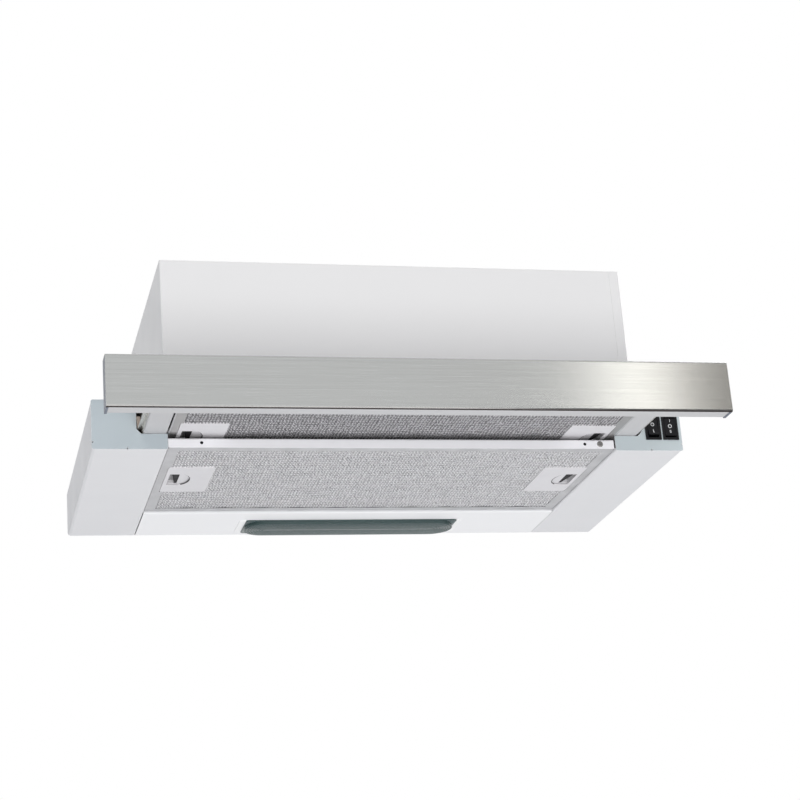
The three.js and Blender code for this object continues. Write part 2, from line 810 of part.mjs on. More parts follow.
function filterLatchHousing(side) {
  const [left, right] = side < 0 ? [-latchOuter, -latchInner] : [latchInner, latchOuter];
  let housing = alongZ(
    roundedRectangle(left, latchStart, right, latchStart + latchDepth, 1.5), 0, latchHeight);
  const cavity = sideBlock(
    side, latchInner + latchSkin, latchMiddle - latchCavityHalf, latchSkin,
    latchOuter - latchSkin, latchMiddle + latchCavityHalf, latchHeight - latchRoof);
  const straight = latchOuter - latchRecessInset;
  const curve = latchRecess / 2;
  const bow = arc(0, 0, 1, -Math.PI / 2, Math.PI / 2, 8).map((spot) => (
    point(side * (straight - curve - curve * spot.x), latchMiddle + latchSlotHalf * spot.y)));
  const recess = new THREE.Shape([
    point(side * straight, latchMiddle - latchSlotHalf), ...bow,
    point(side * straight, latchMiddle + latchSlotHalf),
  ]);
  housing = housing.subtract(cavity).subtract(alongZ(recess, -1, latchSkin + 1));
  return housing.subtract(tongueSlot(side, latchOuter - latchSkin, latchSkin, 0, 0));
}

// The sliding latch: a frame round the finger recess, a pull tab and a bevelled tongue.
function filterLatch(side) {
  const low = latchSkin + gap;
  const high = latchHeight - latchRoof - gap;
  const outer = latchOuter - latchSkin - gap;
  const inner = latchInner + latchSkin + gap + latchTravel;
  const half = latchCavityHalf - gap;
  const fingerHalf = latchSlotHalf - 0.5;
  const fingerOuter = outer - 1.8;
  const fingerInner = fingerOuter - latchPocket;
  const plate = sideBlock(side, inner, latchMiddle - half, low, outer, latchMiddle + half, low + 1.6);
  const finger = sideBlock(
    side, fingerInner, latchMiddle - fingerHalf, 0, fingerOuter, latchMiddle + fingerHalf, high);
  const tab = sideBlock(
    side, fingerInner - 1.6, latchMiddle - fingerHalf, low, fingerInner, latchMiddle + fingerHalf, high);
  const bar = sideBlock(
    side, fingerOuter, latchMiddle - half, low, outer, latchMiddle + half, latchTongueHigh);
  const tip = filterHalf + latchReach;
  const tongue = new THREE.Shape(onSide(side, [
    [fingerOuter, latchTongueLow], [tip - 3, latchTongueLow], [tip, latchTongueHigh - 1],
    [tip, latchTongueHigh], [fingerOuter, latchTongueHigh],
  ]));
  const bolt = alongY(tongue, latchMiddle - latchTongueHalf, latchMiddle + latchTongueHalf);
  return joined([plate.subtract(finger), tab, bar, bolt]);
}

// A filter cassette, laid out from the middle of its front edge and its underside.
function buildFilter(parent, word, y, z) {
  const filter = new THREE.Group();
  filter.position.set(0, y, z);
  parent.add(filter);
  const rounding = 2;
  const outline = roundedRectangle(-filterHalf, 0, filterHalf, filterDepth, rounding);
  const border = filterBorder;
  const window = rectangle(
    -filterHalf + border, border, filterHalf - border, filterDepth - border);
  outline.holes.push(window);
  const groove = block(
    -filterHalf + filterSkin, filterSkin, filterSkin,
    filterHalf - filterSkin, filterDepth - filterSkin, filterHeight - filterSkin);
  let edge = alongZ(outline, 0, filterHeight).subtract(groove);
  let pack = meshPack();
  for (const { side, word: hand } of sides) {
    edge = edge.subtract(tongueSlot(side, filterHalf - filterSkin, filterSkin, 0, 0));
    const room = sideBlock(
      side, latchInner - gap, latchStart - gap, -1,
      latchOuter + gap, latchStart + latchDepth + gap, filterHeight + 1);
    const half = latchTongueHalf + slideGap;
    const channel = sideBlock(
      side, latchOuter, latchMiddle - half, -1, filterHalf, latchMiddle + half, filterHeight + 1);
    edge = edge.subtract(room);
    pack = pack.subtract(room).subtract(channel);
    add(filter, `${word}_latch_housing_${hand}`, filterLatchHousing(side), whitePlastic);
    add(filter, `${word}_latch_${hand}`, filterLatch(side), whitePlastic);
  }
  add(filter, `${word}_filter_frame`, edge, aluminium);
  add(filter, `${word}_filter_mesh`, pack, aluminium);
}

// ---------------------------------------------------------------- blower box

const flapPinZ = boxTop + flapPinRise;
const glandX = boxRight - glandInset;
const glandY = bodyDepth - glandRearInset;
const boreRadius = outletRadius - outletWall;

function buildBox() {
  const wrap = [
    point(boxRight - foldRoom, boxFront), point(boxLeft, boxFront),
    point(boxLeft, bodyDepth), point(boxLeft + boxRearFlange, bodyDepth),
  ];
  const front = alongZ(foldedSheet(wrap, sheet, -1), bodyHeight, lidUnderside);
  add(frame, 'box_wrap', front, whitePaint);

  const flank = [
    point(boxRight - boxSeam, boxFront - sheet), point(boxRight, boxFront - sheet),
    point(boxRight, bodyDepth), point(boxRight - boxRearFlange, bodyDepth),
  ];
  const right = alongZ(foldedSheet(flank, sheet), bodyHeight, lidUnderside);
  const seam = boxRight - boxSeam;
  const notch = block(
    seam - 1, boxFront - 2 * sheet, lidUnderside - seamNotch, seam + seamNotch, boxFront + gap / 2, boxTop);
  add(frame, 'box_side_right', right.subtract(notch), whitePaint);

  const left = boxLeft + sheet + gap;
  const farRight = boxRight - sheet - gap;
  const back = rectangle(boxLeft + foldRoom, bodyHeight, boxRight - foldRoom, lidUnderside);
  const rear = alongY(back, rearInner - sheet, rearInner);
  add(frame, 'box_rear', rear, whitePaint);

  const rim = roundedRectangle(
    left, boxFront + sheet + gap, farRight, rearInner - sheet - gap, bend);
  rim.holes.push(rectangle(
    left + sheet, boxFront + 2 * sheet + gap, farRight - sheet, rearInner - 2 * sheet - gap));
  const plate = rectangle(boxLeft, boxFront, boxRight, bodyDepth);
  plate.holes.push(hole(outletX, outletY, boreRadius));
  plate.holes.push(hole(glandX, glandY, glandRadius - 2));
  const lid = alongZ(rim, lidUnderside - lidRim, lidUnderside);
  add(frame, 'box_lid', lid.add(alongZ(plate, lidUnderside, boxTop)), whitePaint);
}

// ---------------------------------------------------------------- outlet and its flaps

const flapPlateTop = flapPinRise - flapPinRadius;
const flapPlateLow = flapPlateTop - flapThickness;
const flapRadius = boreRadius - 0.9;
const bossReach = 5;
const barrelLength = 18;
const barrelGap = 1;
const barrelStarts = { front: [-44, 8], rear: [-26, 26] };

function buildOutlet() {
  const ledge = boreRadius - flapLedge;
  const ledgeTop = flapPlateLow - gap;
  let collar = turnedZ([
    [ledge, 0], [outletFlange, 0], [outletFlange, outletFlangeHeight],
    [outletRadius, outletFlangeHeight], [outletRadius, outletHeight],
    [boreRadius, outletHeight], [boreRadius, ledgeTop], [ledge, ledgeTop], [ledge, 0],
  ], outletX, outletY, boxTop, 28);
  for (const { side } of sides) {
    const [left, right] = side < 0
      ? [outletX - boreRadius - 1, outletX - boreRadius + bossReach]
      : [outletX + boreRadius - bossReach, outletX + boreRadius + 1];
    const top = flapPinZ + flapBarrel;
    collar = collar.add(block(left, outletY - flapBarrel, boxTop, right, outletY + flapBarrel, top));
  }
  const pinHalf = boreRadius - gap;
  const bore = rodX(flapPinRadius + gap, outletX - pinHalf - gap, outletX + pinHalf + gap, outletY, flapPinZ);
  add(frame, 'outlet_collar', collar.subtract(bore), greyPlastic);
  const pin = rodX(flapPinRadius, outletX - pinHalf, outletX + pinHalf, outletY, flapPinZ, 12);
  add(frame, 'flap_pin', pin, zinc);
}

function buildFlap(word, way) {
  const flap = new THREE.Group();
  flap.position.set(outletX, outletY, flapPinZ);
  frame.add(flap);
  const other = word === 'front' ? 'rear' : 'front';
  const low = flapPlateLow - flapPinRise;
  const high = flapPlateTop - flapPinRise;
  let leaf = alongZ(disc(0, 0, flapRadius), low, high);
  const [near, far] = way < 0 ? [-0.5, reach] : [-reach, 0.5];
  leaf = leaf.subtract(block(-reach, near, -reach, reach, far, reach));
  const clearance = flapBarrel + flapNotch;
  const notch = (left, right) => block(left, -clearance, -flapBarrel * 2, right, clearance, flapBarrel * 2);
  const bossStart = boreRadius - bossReach - slideGap;
  leaf = leaf.subtract(notch(-reach, -bossStart)).subtract(notch(bossStart, reach));
  for (const start of barrelStarts[other]) {
    leaf = leaf.subtract(notch(start - barrelGap, start + barrelLength + barrelGap));
  }
  for (const start of barrelStarts[word]) {
    leaf = leaf.add(rodX(flapBarrel, start, start + barrelLength, 0, 0, 12));
  }
  for (const start of barrelStarts[word]) {
    leaf = leaf.subtract(rodX(flapPinRadius + gap, start - 1, start + barrelLength + 1, 0, 0, 12));
  }
  add(flap, `flap_${word}`, leaf, greyPlastic);
}

// ---------------------------------------------------------------- blower

const throatFront = blowerY + scrollStart * Math.cos(tongue);
const throatRear = blowerY + scrollEnd;
const throatTop = blowerZ + scrollStart * Math.sin(tongue) + 5;
const scrollLeft = blowerX - scrollHalf;
const scrollRight = blowerX + scrollHalf;

// The scroll's section, grown outwards by a margin: a spiral, its inner disc and its throat.
function scrollBody(margin, from, to, top) {
  const steps = 18;
  const spiral = [point(blowerY, blowerZ)];
  for (let i = 0; i <= steps; i++) {
    const share = i / steps;
    const angle = tongue + share * (2 * Math.PI - tongue);
    const radius = scrollStart + share * (scrollEnd - scrollStart) + margin;
    spiral.push(point(blowerY + radius * Math.cos(angle), blowerZ + radius * Math.sin(angle)));
  }
  const core = alongX(disc(blowerY, blowerZ, scrollStart + margin), from, to);
  const throat = rectangle(throatFront - margin, blowerZ, throatRear + margin, top);
  return joined([alongX(new THREE.Shape(spiral), from, to), core, alongX(throat, from, to)]);
}

// The duct from the throat's rectangle to the round outlet, grown outwards by a margin.
function ductBody(margin, low, high) {
  const around = 24;
  const levels = 3;
  const halfX = scrollHalf - scrollWall + margin;
  const halfY = (throatRear - throatFront) / 2 + margin;
  const round = boreRadius - flapLedge + margin;
  const rings = [];
  for (let level = 0; level <= levels; level++) {
    const share = level / levels;
    const eased = share * share * (3 - 2 * share);
    const spots = [];
    for (let i = 0; i < around; i++) {
      const angle = 2 * Math.PI * (i + 0.5) / around;
      const [cos, sin] = [Math.cos(angle), Math.sin(angle)];
      const square = 1 / Math.max(Math.abs(cos) / halfX, Math.abs(sin) / halfY);
      const distance = square + (round - square) * eased;
      spots.push([outletX + distance * cos, outletY + distance * sin, low + (high - low) * share]);
    }
    rings.push(spots);
  }
  return lofted(rings);
}

function buildScroll() {
  const jointFlange = 3.5;
  const jointThickness = 2;
  const rootFlange = 6;
  const bellDepth = 4;
  const bellLip = 3;
  const inLeft = scrollLeft + scrollWall;
  const inRight = scrollRight - scrollWall;
  const air = scrollBody(0, inLeft, inRight, throatTop).add(ductBody(0, throatTop - 1, lidUnderside + 1));
  const shell = scrollBody(scrollWall, scrollLeft, scrollRight, throatTop);
  const duct = ductBody(scrollWall, throatTop - 1, lidUnderside);
  const seat = alongZ(
    disc(outletX, outletY, boreRadius + rootFlange), lidUnderside - scrollWall, lidUnderside);
  const joint = scrollBody(
    scrollWall + jointFlange, blowerX - jointThickness, blowerX + jointThickness, throatTop);
  const bell = [
    [inletRadius, 0], [inletRadius + bellLip, 0], [inletRadius + 1.5, 2],
    [inletRadius + 1.5, bellDepth + scrollWall], [inletRadius, bellDepth + scrollWall], [inletRadius, 0],
  ];
  let whole = joined([shell, duct, seat, joint]).subtract(air);
  for (const x of [scrollLeft, inRight]) {
    whole = whole.subtract(alongX(disc(blowerY, blowerZ, inletRadius), x - 1, x + scrollWall + 1));
  }
  whole = whole.add(turnedX(bell, scrollLeft, blowerY, blowerZ));
  whole = whole.add(turnedX(bell.map(([r, x]) => [r, -x]), scrollRight, blowerY, blowerZ));
  const half = block(blowerX, -reach, -reach, reach, reach, reach);
  const left = whole.subtract(half);
  const right = whole.intersect(half);
  add(frame, 'scroll_left', left, greyPlastic);
  add(frame, 'scroll_right', right, greyPlastic);
}

function ring(inner, outer, from, to) {
  const shape = disc(blowerY, blowerZ, outer);
  if (inner > 0) shape.holes.push(disc(blowerY, blowerZ, inner));
  return alongX(shape, from, to);
}

function spoke(index, count, inner, outer, width, from, to) {
  const shape = rectangle(inner, -width / 2, outer, width / 2);
  const turned = shape.getPoints().map((spot) => (
    spot.rotateAround(point(0, 0), 2 * Math.PI * index / count).add(point(blowerY, blowerZ))));
  return alongX(new THREE.Shape(turned), from, to);
}

function buildImpeller() {
  const wheel = new THREE.Group();
  wheel.position.set(blowerX, blowerY, blowerZ);
  frame.add(wheel);
  const half = impellerWidth / 2;
  const lean = THREE.MathUtils.degToRad(bladeLean);
  const depth = impellerRadius - 0.5 - impellerInner;
  const curve = new THREE.QuadraticBezierCurve(
    point(impellerInner, 0),
    point(impellerInner + 0.7 * depth, 0),
    point(impellerInner + depth, depth * Math.tan(lean)));
  const middle = curve.getPoints(2);
  const blade = middle.map((spot) => spot.clone().add(point(0, bladeThickness / 2)));
  blade.push(...middle.reverse().map((spot) => spot.clone().sub(point(0, bladeThickness / 2))));
  const parts = [];
  for (let i = 0; i < bladeCount; i++) {
    const angle = 2 * Math.PI * i / bladeCount;
    const shape = new THREE.Shape(blade.map((spot) => spot.clone().rotateAround(point(0, 0), angle)));
    parts.push(alongX(shape, -half, half));
  }
  const band = disc(0, 0, impellerRadius);
  band.holes.push(disc(0, 0, impellerRadius - 3));
  parts.push(alongX(band, -half, -half + ringHeight), alongX(band, half - ringHeight, half));
  parts.push(alongX(disc(0, 0, impellerRadius - 1), -discThickness / 2, discThickness / 2));
  parts.push(rodX(hubRadius, 0, hubLength, 0, 0));
  parts.push(rodX(shaftRadius, -scrollHalf + 8, hubLength + 2, 0, 0, 16));
  add(wheel, 'impeller', joined(parts), greyPlastic);
}

function buildMotor() {
  const length = scrollHalf - discThickness / 2 - motorGap;
  const bell = 5;
  const nose = 12;
  const motor = turnedX([
    [0, 0], [motorRadius - bell, 0], [motorRadius, bell], [motorRadius, length - 3 - bell],
    [motorRadius - bell, length - 3], [nose, length - 3], [nose, length],
    [shaftRadius + gap, length], [shaftRadius + gap, 6], [0, 6],
  ], scrollLeft, blowerY, blowerZ, 20);
  add(frame, 'blower_motor', motor, castMetal);

  const from = scrollLeft - bracketThickness;
  const parts = [
    ring(inletRadius + 2.5, inletRadius + 9, from, scrollLeft),
    ring(0, motorRadius - bell - 2, from, scrollLeft),
  ];
  for (let i = 0; i < 3; i++) {
    parts.push(spoke(i + 0.25, 3, motorRadius - bell - 4, inletRadius + 5, 9, from, scrollLeft));
  }
  add(frame, 'motor_bracket', joined(parts), zinc);
}

// ---------------------------------------------------------------- electrics

function buildElectrics() {
  const capacitor = turnedZ([
    [0, 0], [capacitorRadius, 0], [capacitorRadius, capacitorHeight - 2],
    [capacitorRadius - 2, capacitorHeight], [capacitorSpout, capacitorHeight],
    [capacitorSpout, capacitorHeight + capacitorSpout], [0, capacitorHeight + capacitorSpout],
  ], boxRight - capacitorInset, capacitorY, bodyHeight, 20);
  add(frame, 'capacitor', capacitor, whitePlastic);

  const right = boxRight - terminalInset;
  const left = right - terminalWidth;
  const rear = bodyDepth - terminalRearInset;
  const front = rear - terminalDepth;
  const corner = 3;
  const lidSkin = 1;
  const lidDepth = 8;
  const outline = roundedRectangle(left, front, right, rear, corner);
  const lidOutline = roundedRectangle(
    left - lidSkin, front - lidSkin, right + lidSkin, rear + lidSkin, corner + lidSkin);
  const low = bodyHeight + terminalHeight;
  const lid = alongZ(lidOutline, low - lidDepth, low + 2 * lidSkin);
  const box = alongZ(outline, bodyHeight, low).add(lid);
  add(frame, 'terminal_box', box, greyPlastic);

  const neck = glandRadius - 2 - gap;
  const foot = -sheet - glandDepth;
  const collar = glandHeight / 3;
  const gland = turnedZ([
    [glandBore, foot], [glandRadius, foot], [glandRadius, -sheet], [neck, -sheet],
    [neck, 0], [glandRadius, 0], [glandRadius, collar], [glandRadius - 2, glandHeight / 2],
    [glandRadius - 3, glandHeight], [glandBore, glandHeight], [glandBore, foot],
  ], glandX, glandY, boxTop, 16);
  add(frame, 'cable_gland', gland, blackPlastic);
}

// A rocker's housing stands through the arm's front, with its rocker in the opening.
function buildRocker(rocker) {
  const { name, left, right, tilt } = rocker;
  const middle = rockerBezelBottom + rockerBezelHeight / 2;
  let housing = alongY(rockerOpening(rocker, 0), -rockerBezelDepth, 0);
  housing = housing.add(alongY(rockerOpening(rocker, rockerFrame), -1, rockerBody));
  const wall = rockerFrame + 0.9;
  const well = alongY(rockerOpening(rocker, wall), -rockerBezelDepth - 1, rockerBody - 3);
  housing = housing.subtract(well);
  const pinRadius = 1.2;
  const pinReach = 0.6;
  const [pinLeft, pinRight] = [left + wall - pinReach, right - wall + pinReach];
  const holes = rodX(pinRadius + gap, pinLeft, pinRight, rockerPivotY, middle, 12);
  add(frame, `${name}_switch_housing`, housing.subtract(holes), blackPlastic);

  const pivot = new THREE.Group();
  pivot.position.set((left + right) / 2, rockerPivotY, middle);
  pivot.rotation.x = THREE.MathUtils.degToRad(tilt);
  frame.add(pivot);
  const half = (right - left) / 2 - wall - gap;
  const tall = rockerBezelHeight / 2 - wall - 1.4;
  const front = new THREE.Shape();
  front.moveTo(-rockerRise, tall);
  front.quadraticCurveTo(-rockerRise + rockerDip, tall / 2, -rockerRise + rockerDip, 0);
  front.quadraticCurveTo(-rockerRise + rockerDip, -tall / 2, -rockerRise, -tall);
  front.lineTo(1.5, -tall + 1.5);
  front.lineTo(3, 0);
  front.lineTo(1.5, tall - 1.5);
  const pin = rodX(pinRadius, -half - pinReach, half + pinReach, 0, 0, 12);
  add(pivot, `${name}_rocker`, alongX(front, -half, half).add(pin), blackPlastic);
}

// ---------------------------------------------------------------- carriage

// The steel skin is folded over the carrier, and over the end caps that close its sides.
function buildPanel() {
  const skinHalf = bodyHalf - panelInset;
  const skin = [
    point(carrierRear, panelTop), point(panelFace, panelTop), point(panelFace, panelBottom),
    point(panelFace + panelHem, panelBottom),
  ];
  add(carriage, 'front_panel', alongX(foldedSheet(skin, panelSheet), -skinHalf, skinHalf), brushedSteel);

  const half = skinHalf - capThickness;
  const top = panelTop - panelSheet;
  const carrier = [
    point(carrierRear, top), point(carrierFront, top), point(carrierFront, carrierBottom),
    point(carrierRear, carrierBottom), point(carrierRear, carrierBottom + carrierLip),
  ];
  add(carriage, 'panel_carrier', alongX(foldedSheet(carrier, carrierSheet), -half, half), whitePaint);

  const behindSkin = panelFace + panelSheet + bend + gap;
  const behindHem = panelFace + panelHem + gap;
  const aboveHem = panelBottom + panelSheet + bend + gap;
  const cap = new THREE.Shape([
    point(behindHem, panelBottom), point(carrierRear, panelBottom), point(carrierRear, top - gap),
    point(behindSkin, top - gap), point(behindSkin, aboveHem), point(behindHem, aboveHem),
  ]);
  for (const { side, word } of sides) {
    const [from, to] = side < 0 ? [-skinHalf, -half] : [half, skinHalf];
    add(carriage, `end_cap_${word}`, alongX(cap, from, to), slatePlastic);
  }
}

const carrierInside = carrierFront + carrierSheet;
const coverLow = beamTop;
const railLow = frontFilterZ - gap - sheet;

function buildBeam({ side, word }) {
  const corners = onSide(side, [
    [beamInner, beamTop], [beamInner, beamBottom], [beamOuter, beamBottom], [beamOuter, beamTop],
  ]);
  let beam = alongY(foldedSheet(corners, beamSheet, side, 0.5), carrierInside, beamRear);
  beam = beam.subtract(tongueSlot(side, beamInner, beamSheet, frontFilterY, frontFilterZ));
  add(carriage, `carriage_beam_${word}`, beam, whitePaint);
}

function buildCarriageFrame() {
  const half = armInner - gap;
  const frontRail = [
    point(carrierInside, railLow + carriageRailHeight), point(carrierInside, railLow),
    point(frontFilterY + railLedge, railLow),
  ];
  add(carriage, 'carriage_front_rail', alongX(foldedSheet(frontRail, sheet), -half, half), whitePaint);

  const filterRear = frontFilterY + filterDepth;
  const rearRail = [
    point(filterRear - railLedge, railLow), point(beamRear, railLow), point(beamRear, rearRailTop),
  ];
  add(carriage, 'carriage_rear_rail', alongX(foldedSheet(rearRail, sheet), -half, half), whitePaint);

  const cover = rectangle(-beamOuter, carrierInside, beamOuter, carrierInside + coverDepth);
  add(carriage, 'carriage_cover', alongZ(cover, coverLow, coverLow + sheet), whitePaint);
}

// ---------------------------------------------------------------- ball runners

const innerLow = runnerCentreZ - runnerInnerHeight / 2;
const innerHigh = runnerCentreZ + runnerInnerHeight / 2;
const outerLow = runnerCentreZ - runnerOuterHeight / 2;
const outerHigh = runnerCentreZ + runnerOuterHeight / 2;
const ballGap = (runnerOuterHeight - runnerInnerHeight) / 2 - runnerSheet;
const ballRadius = ballGap / 2 - 0.1;

function buildRunner({ side, word }) {
  const tip = beamOuter + runnerInnerWidth;
  const web = beamOuter + runnerSheet;
  const inner = new THREE.Shape(onSide(side, [
    [beamOuter, beamBottom + slideGap], [web, beamBottom + slideGap], [web, innerLow],
    [tip, innerLow], [tip, innerLow + runnerSheet], [web, innerLow + runnerSheet],
    [web, innerHigh - runnerSheet], [tip, innerHigh - runnerSheet], [tip, innerHigh],
    [beamOuter, innerHigh],
  ]));
  add(carriage, `runner_inner_${word}`, alongY(inner, runnerInnerFront, beamRear), zinc);

  const mouth = beamOuter + runnerSheet + 0.8;
  const outer = onSide(side, [
    [mouth, outerLow], [runnerWeb, outerLow], [runnerWeb, outerHigh], [mouth, outerHigh],
  ]);
  const outerRail = alongY(foldedSheet(outer, runnerSheet, side, 0.5), runnerOuterFront, runnerOuterRear);
  const stop = sideBlock(
    side, tip + slideGap, runnerOuterFront, outerLow + runnerSheet / 2,
    runnerWeb - runnerSheet / 2, runnerOuterFront + runnerStop, outerHigh - runnerSheet / 2);
  const foot = onSide(side, [
    [runnerWeb, outerHigh - 4], [runnerWeb, sheet], [runnerWeb + runnerBracketFoot, sheet],
  ]);
  const bracket = alongY(foldedSheet(foot, sheet, side), runnerBracketFront, runnerOuterRear);
  add(frame, `runner_outer_${word}`, joined([outerRail, bracket, stop]), zinc);
}

// A ball cage: a thin strip between the rails that carries a row of balls at its top and foot.
function buildCage({ side, word }, cages) {
  const across = side * (beamOuter + runnerInnerWidth + 1.4);
  const from = runnerOuterFront + cageEnd + openingTravel / 2;
  const cageLength = beamRear - openingTravel - runnerOuterFront - 2 * cageEnd;
  const low = innerLow - ballRadius * 1.4;
  const high = innerHigh + ballRadius * 1.4;
  const [left, right] = side < 0 ? [across, across + cageSheet] : [across - cageSheet, across];
  const parts = [block(left, from, low, right, from + cageLength, high)];
  const ballX = side * (beamOuter + runnerInnerWidth - ballRadius + 0.7);
  for (let y = from + ballPitch / 4; y < from + cageLength; y += ballPitch) {
    for (const z of [innerLow - ballGap / 2, innerHigh + ballGap / 2]) {
      const ball = new THREE.SphereGeometry(ballRadius, 6, 4).translate(ballX, y, z);
      parts.push(solid(ball));
    }
  }
  add(cages, `ball_cage_${word}`, joined(parts), ballSteel);
}

// ---------------------------------------------------------------- putting it together

for (const side of sides) buildArm(side);
buildDeck();
buildRearWall();
buildCrossbar();
buildLampPanel();
buildLens();
buildReflector();
for (const side of sides) buildLamp(side);
buildFilter(frame, 'rear', rearFilterY, rearFilterZ);
buildBox();
buildOutlet();
buildFlap('front', -1);
buildFlap('rear', 1);
buildScroll();
buildImpeller();
buildMotor();
buildElectrics();
for (const rocker of rockers) buildRocker(rocker);

buildPanel();
for (const side of sides) buildBeam(side);
buildCarriageFrame();
buildFilter(carriage, 'front', frontFilterY, frontFilterZ);
for (const side of sides) buildRunner(side);

const cages = new THREE.Group();
hood.add(cages);
for (const side of sides) buildCage(side, cages);

export default hood;
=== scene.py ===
"""A slide-out range hood: its finishes, its expanded metal, its lens and its small fittings.

Every piece is in metres in the row frame, +X to the right, +Y to the wall and +Z up, with
the origin on the face that meets the cabinet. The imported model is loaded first.
"""

import json
import math
import random

import bmesh
import bpy
from mathutils import Euler, Matrix, Vector


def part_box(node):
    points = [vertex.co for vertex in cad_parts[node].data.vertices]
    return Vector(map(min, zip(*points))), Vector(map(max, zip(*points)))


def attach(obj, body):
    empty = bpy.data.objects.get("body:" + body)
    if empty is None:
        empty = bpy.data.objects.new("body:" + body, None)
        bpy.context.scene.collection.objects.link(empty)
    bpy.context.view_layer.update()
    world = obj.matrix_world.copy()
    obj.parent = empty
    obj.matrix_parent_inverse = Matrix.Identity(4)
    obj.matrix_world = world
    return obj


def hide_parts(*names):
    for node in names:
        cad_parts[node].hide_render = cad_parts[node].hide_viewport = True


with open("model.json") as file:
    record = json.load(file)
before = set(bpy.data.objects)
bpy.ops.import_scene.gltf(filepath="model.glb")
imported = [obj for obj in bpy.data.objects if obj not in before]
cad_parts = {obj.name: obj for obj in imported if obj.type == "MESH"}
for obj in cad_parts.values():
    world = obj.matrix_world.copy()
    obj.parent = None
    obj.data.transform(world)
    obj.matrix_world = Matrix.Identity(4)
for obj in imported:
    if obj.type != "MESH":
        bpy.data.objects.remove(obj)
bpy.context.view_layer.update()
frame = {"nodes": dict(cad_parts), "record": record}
bpy.context.scene.view_settings.view_transform = "Standard"

MM = 0.001
SIDES = (("left", -1), ("right", 1))

# ---------------------------------------------------------------- camera, light and room

CAMERA_PLACE = (-0.4665, -1.8087, -0.6458)
CAMERA_TURN = (109.248, 4.165, -13.241)   # degrees about X, Y and Z
CAMERA_LENS = 89.41                       # mm, on a 36 mm sensor

FLOOR_LEVEL = -1.45                       # a kitchen floor lies under the hob
FLOOR_SIZE = 9.0
BACKGROUND = (1.0, 1.0, 1.0)
AMBIENT = (0.47, 0.485, 0.51)

MIDDLE = (0.0, 0.0, 0.0)
PANEL_END = (0.22, -0.14, -0.03)
SOFTBOXES = (
    # name, place, aim, width, height, watts and colour
    ("high_softbox", (-1.1, -1.9, 1.9), MIDDLE, 1.4, 1.2, 12.5, (1.0, 0.99, 0.97)),
    ("low_softbox", (-0.2, -2.1, -1.1), MIDDLE, 2.0, 1.0, 30.0, (1.0, 1.0, 1.0)),
    ("rear_softbox", (1.7, 2.1, 1.5), MIDDLE, 1.5, 1.3, 42.0, (1.0, 1.0, 1.0)),
    ("floor_softbox", (0.2, 0.3, -1.35), MIDDLE, 1.8, 1.2, 4.5, (1.0, 1.0, 1.0)),
    ("strip_light", (0.915, -1.89, 0.62), PANEL_END, 0.12, 1.5, 1.85, (1.0, 0.96, 0.9)),
)

CARD_PLACE = (1.36, -1.65, 0.6)
CARD_AIM = (0.28, -0.14, 0.0)
CARD_HALF_WIDTH = 0.5
CARD_HALF_HEIGHT = 1.3
CARD_GREY = (0.42, 0.39, 0.355)


def build_camera():
    camera = bpy.data.objects.new("camera", bpy.data.cameras.new("camera"))
    camera.data.lens = CAMERA_LENS
    camera.data.sensor_width = 36.0
    camera.data.clip_start = 0.05
    camera.data.clip_end = 50.0
    camera.location = CAMERA_PLACE
    camera.rotation_euler = Euler([math.radians(turn) for turn in CAMERA_TURN])
    bpy.context.scene.collection.objects.link(camera)
    bpy.context.scene.camera = camera


def seen_directly(tree):
    """1 for camera, glossy and transmission rays, which all meet the plain background."""
    path = tree.nodes.new("ShaderNodeLightPath")
    total = path.outputs["Is Camera Ray"]
    for ray in ("Is Glossy Ray", "Is Transmission Ray"):
        either = tree.nodes.new("ShaderNodeMath")
        either.operation = "MAXIMUM"
        tree.links.new(total, either.inputs[0])
        tree.links.new(path.outputs[ray], either.inputs[1])
        total = either.outputs[0]
    return total


def build_world():
    world = bpy.data.worlds.new("studio")
    world.use_nodes = True
    tree = world.node_tree
    background = next(node for node in tree.nodes if node.type == "BACKGROUND")
    mix = tree.nodes.new("ShaderNodeMix")
    mix.data_type = "RGBA"
    mix.inputs[6].default_value = (*AMBIENT, 1.0)
    mix.inputs[7].default_value = (*BACKGROUND, 1.0)
    tree.links.new(seen_directly(tree), mix.inputs[0])
    tree.links.new(mix.outputs[2], background.inputs["Color"])
    bpy.context.scene.world = world


def build_lights():
    for name, place, aim, width, height, watts, colour in SOFTBOXES:
        light = bpy.data.lights.new(name, "AREA")
        light.shape = "RECTANGLE"
        light.size = width
        light.size_y = height
        light.energy = watts
        light.color = colour
        lamp = bpy.data.objects.new(name, light)
        lamp.location = place
        lamp.rotation_euler = (Vector(aim) - Vector(place)).to_track_quat("-Z", "Y").to_euler()
        bpy.context.scene.collection.objects.link(lamp)


def build_sheet(name, half_width, half_height, material):
    """A rectangle of the set, which isn't part of the hood."""
    mesh = bpy.data.meshes.new(name)
    signs = ((-1, -1), (1, -1), (1, 1), (-1, 1))
    corners = [(x * half_width, y * half_height, 0.0) for x, y in signs]
    mesh.from_pydata(corners, [], [(0, 1, 2, 3)])
    mesh.materials.append(material)
    sheet = bpy.data.objects.new(name, mesh)
    bpy.context.scene.collection.objects.link(sheet)
    return sheet


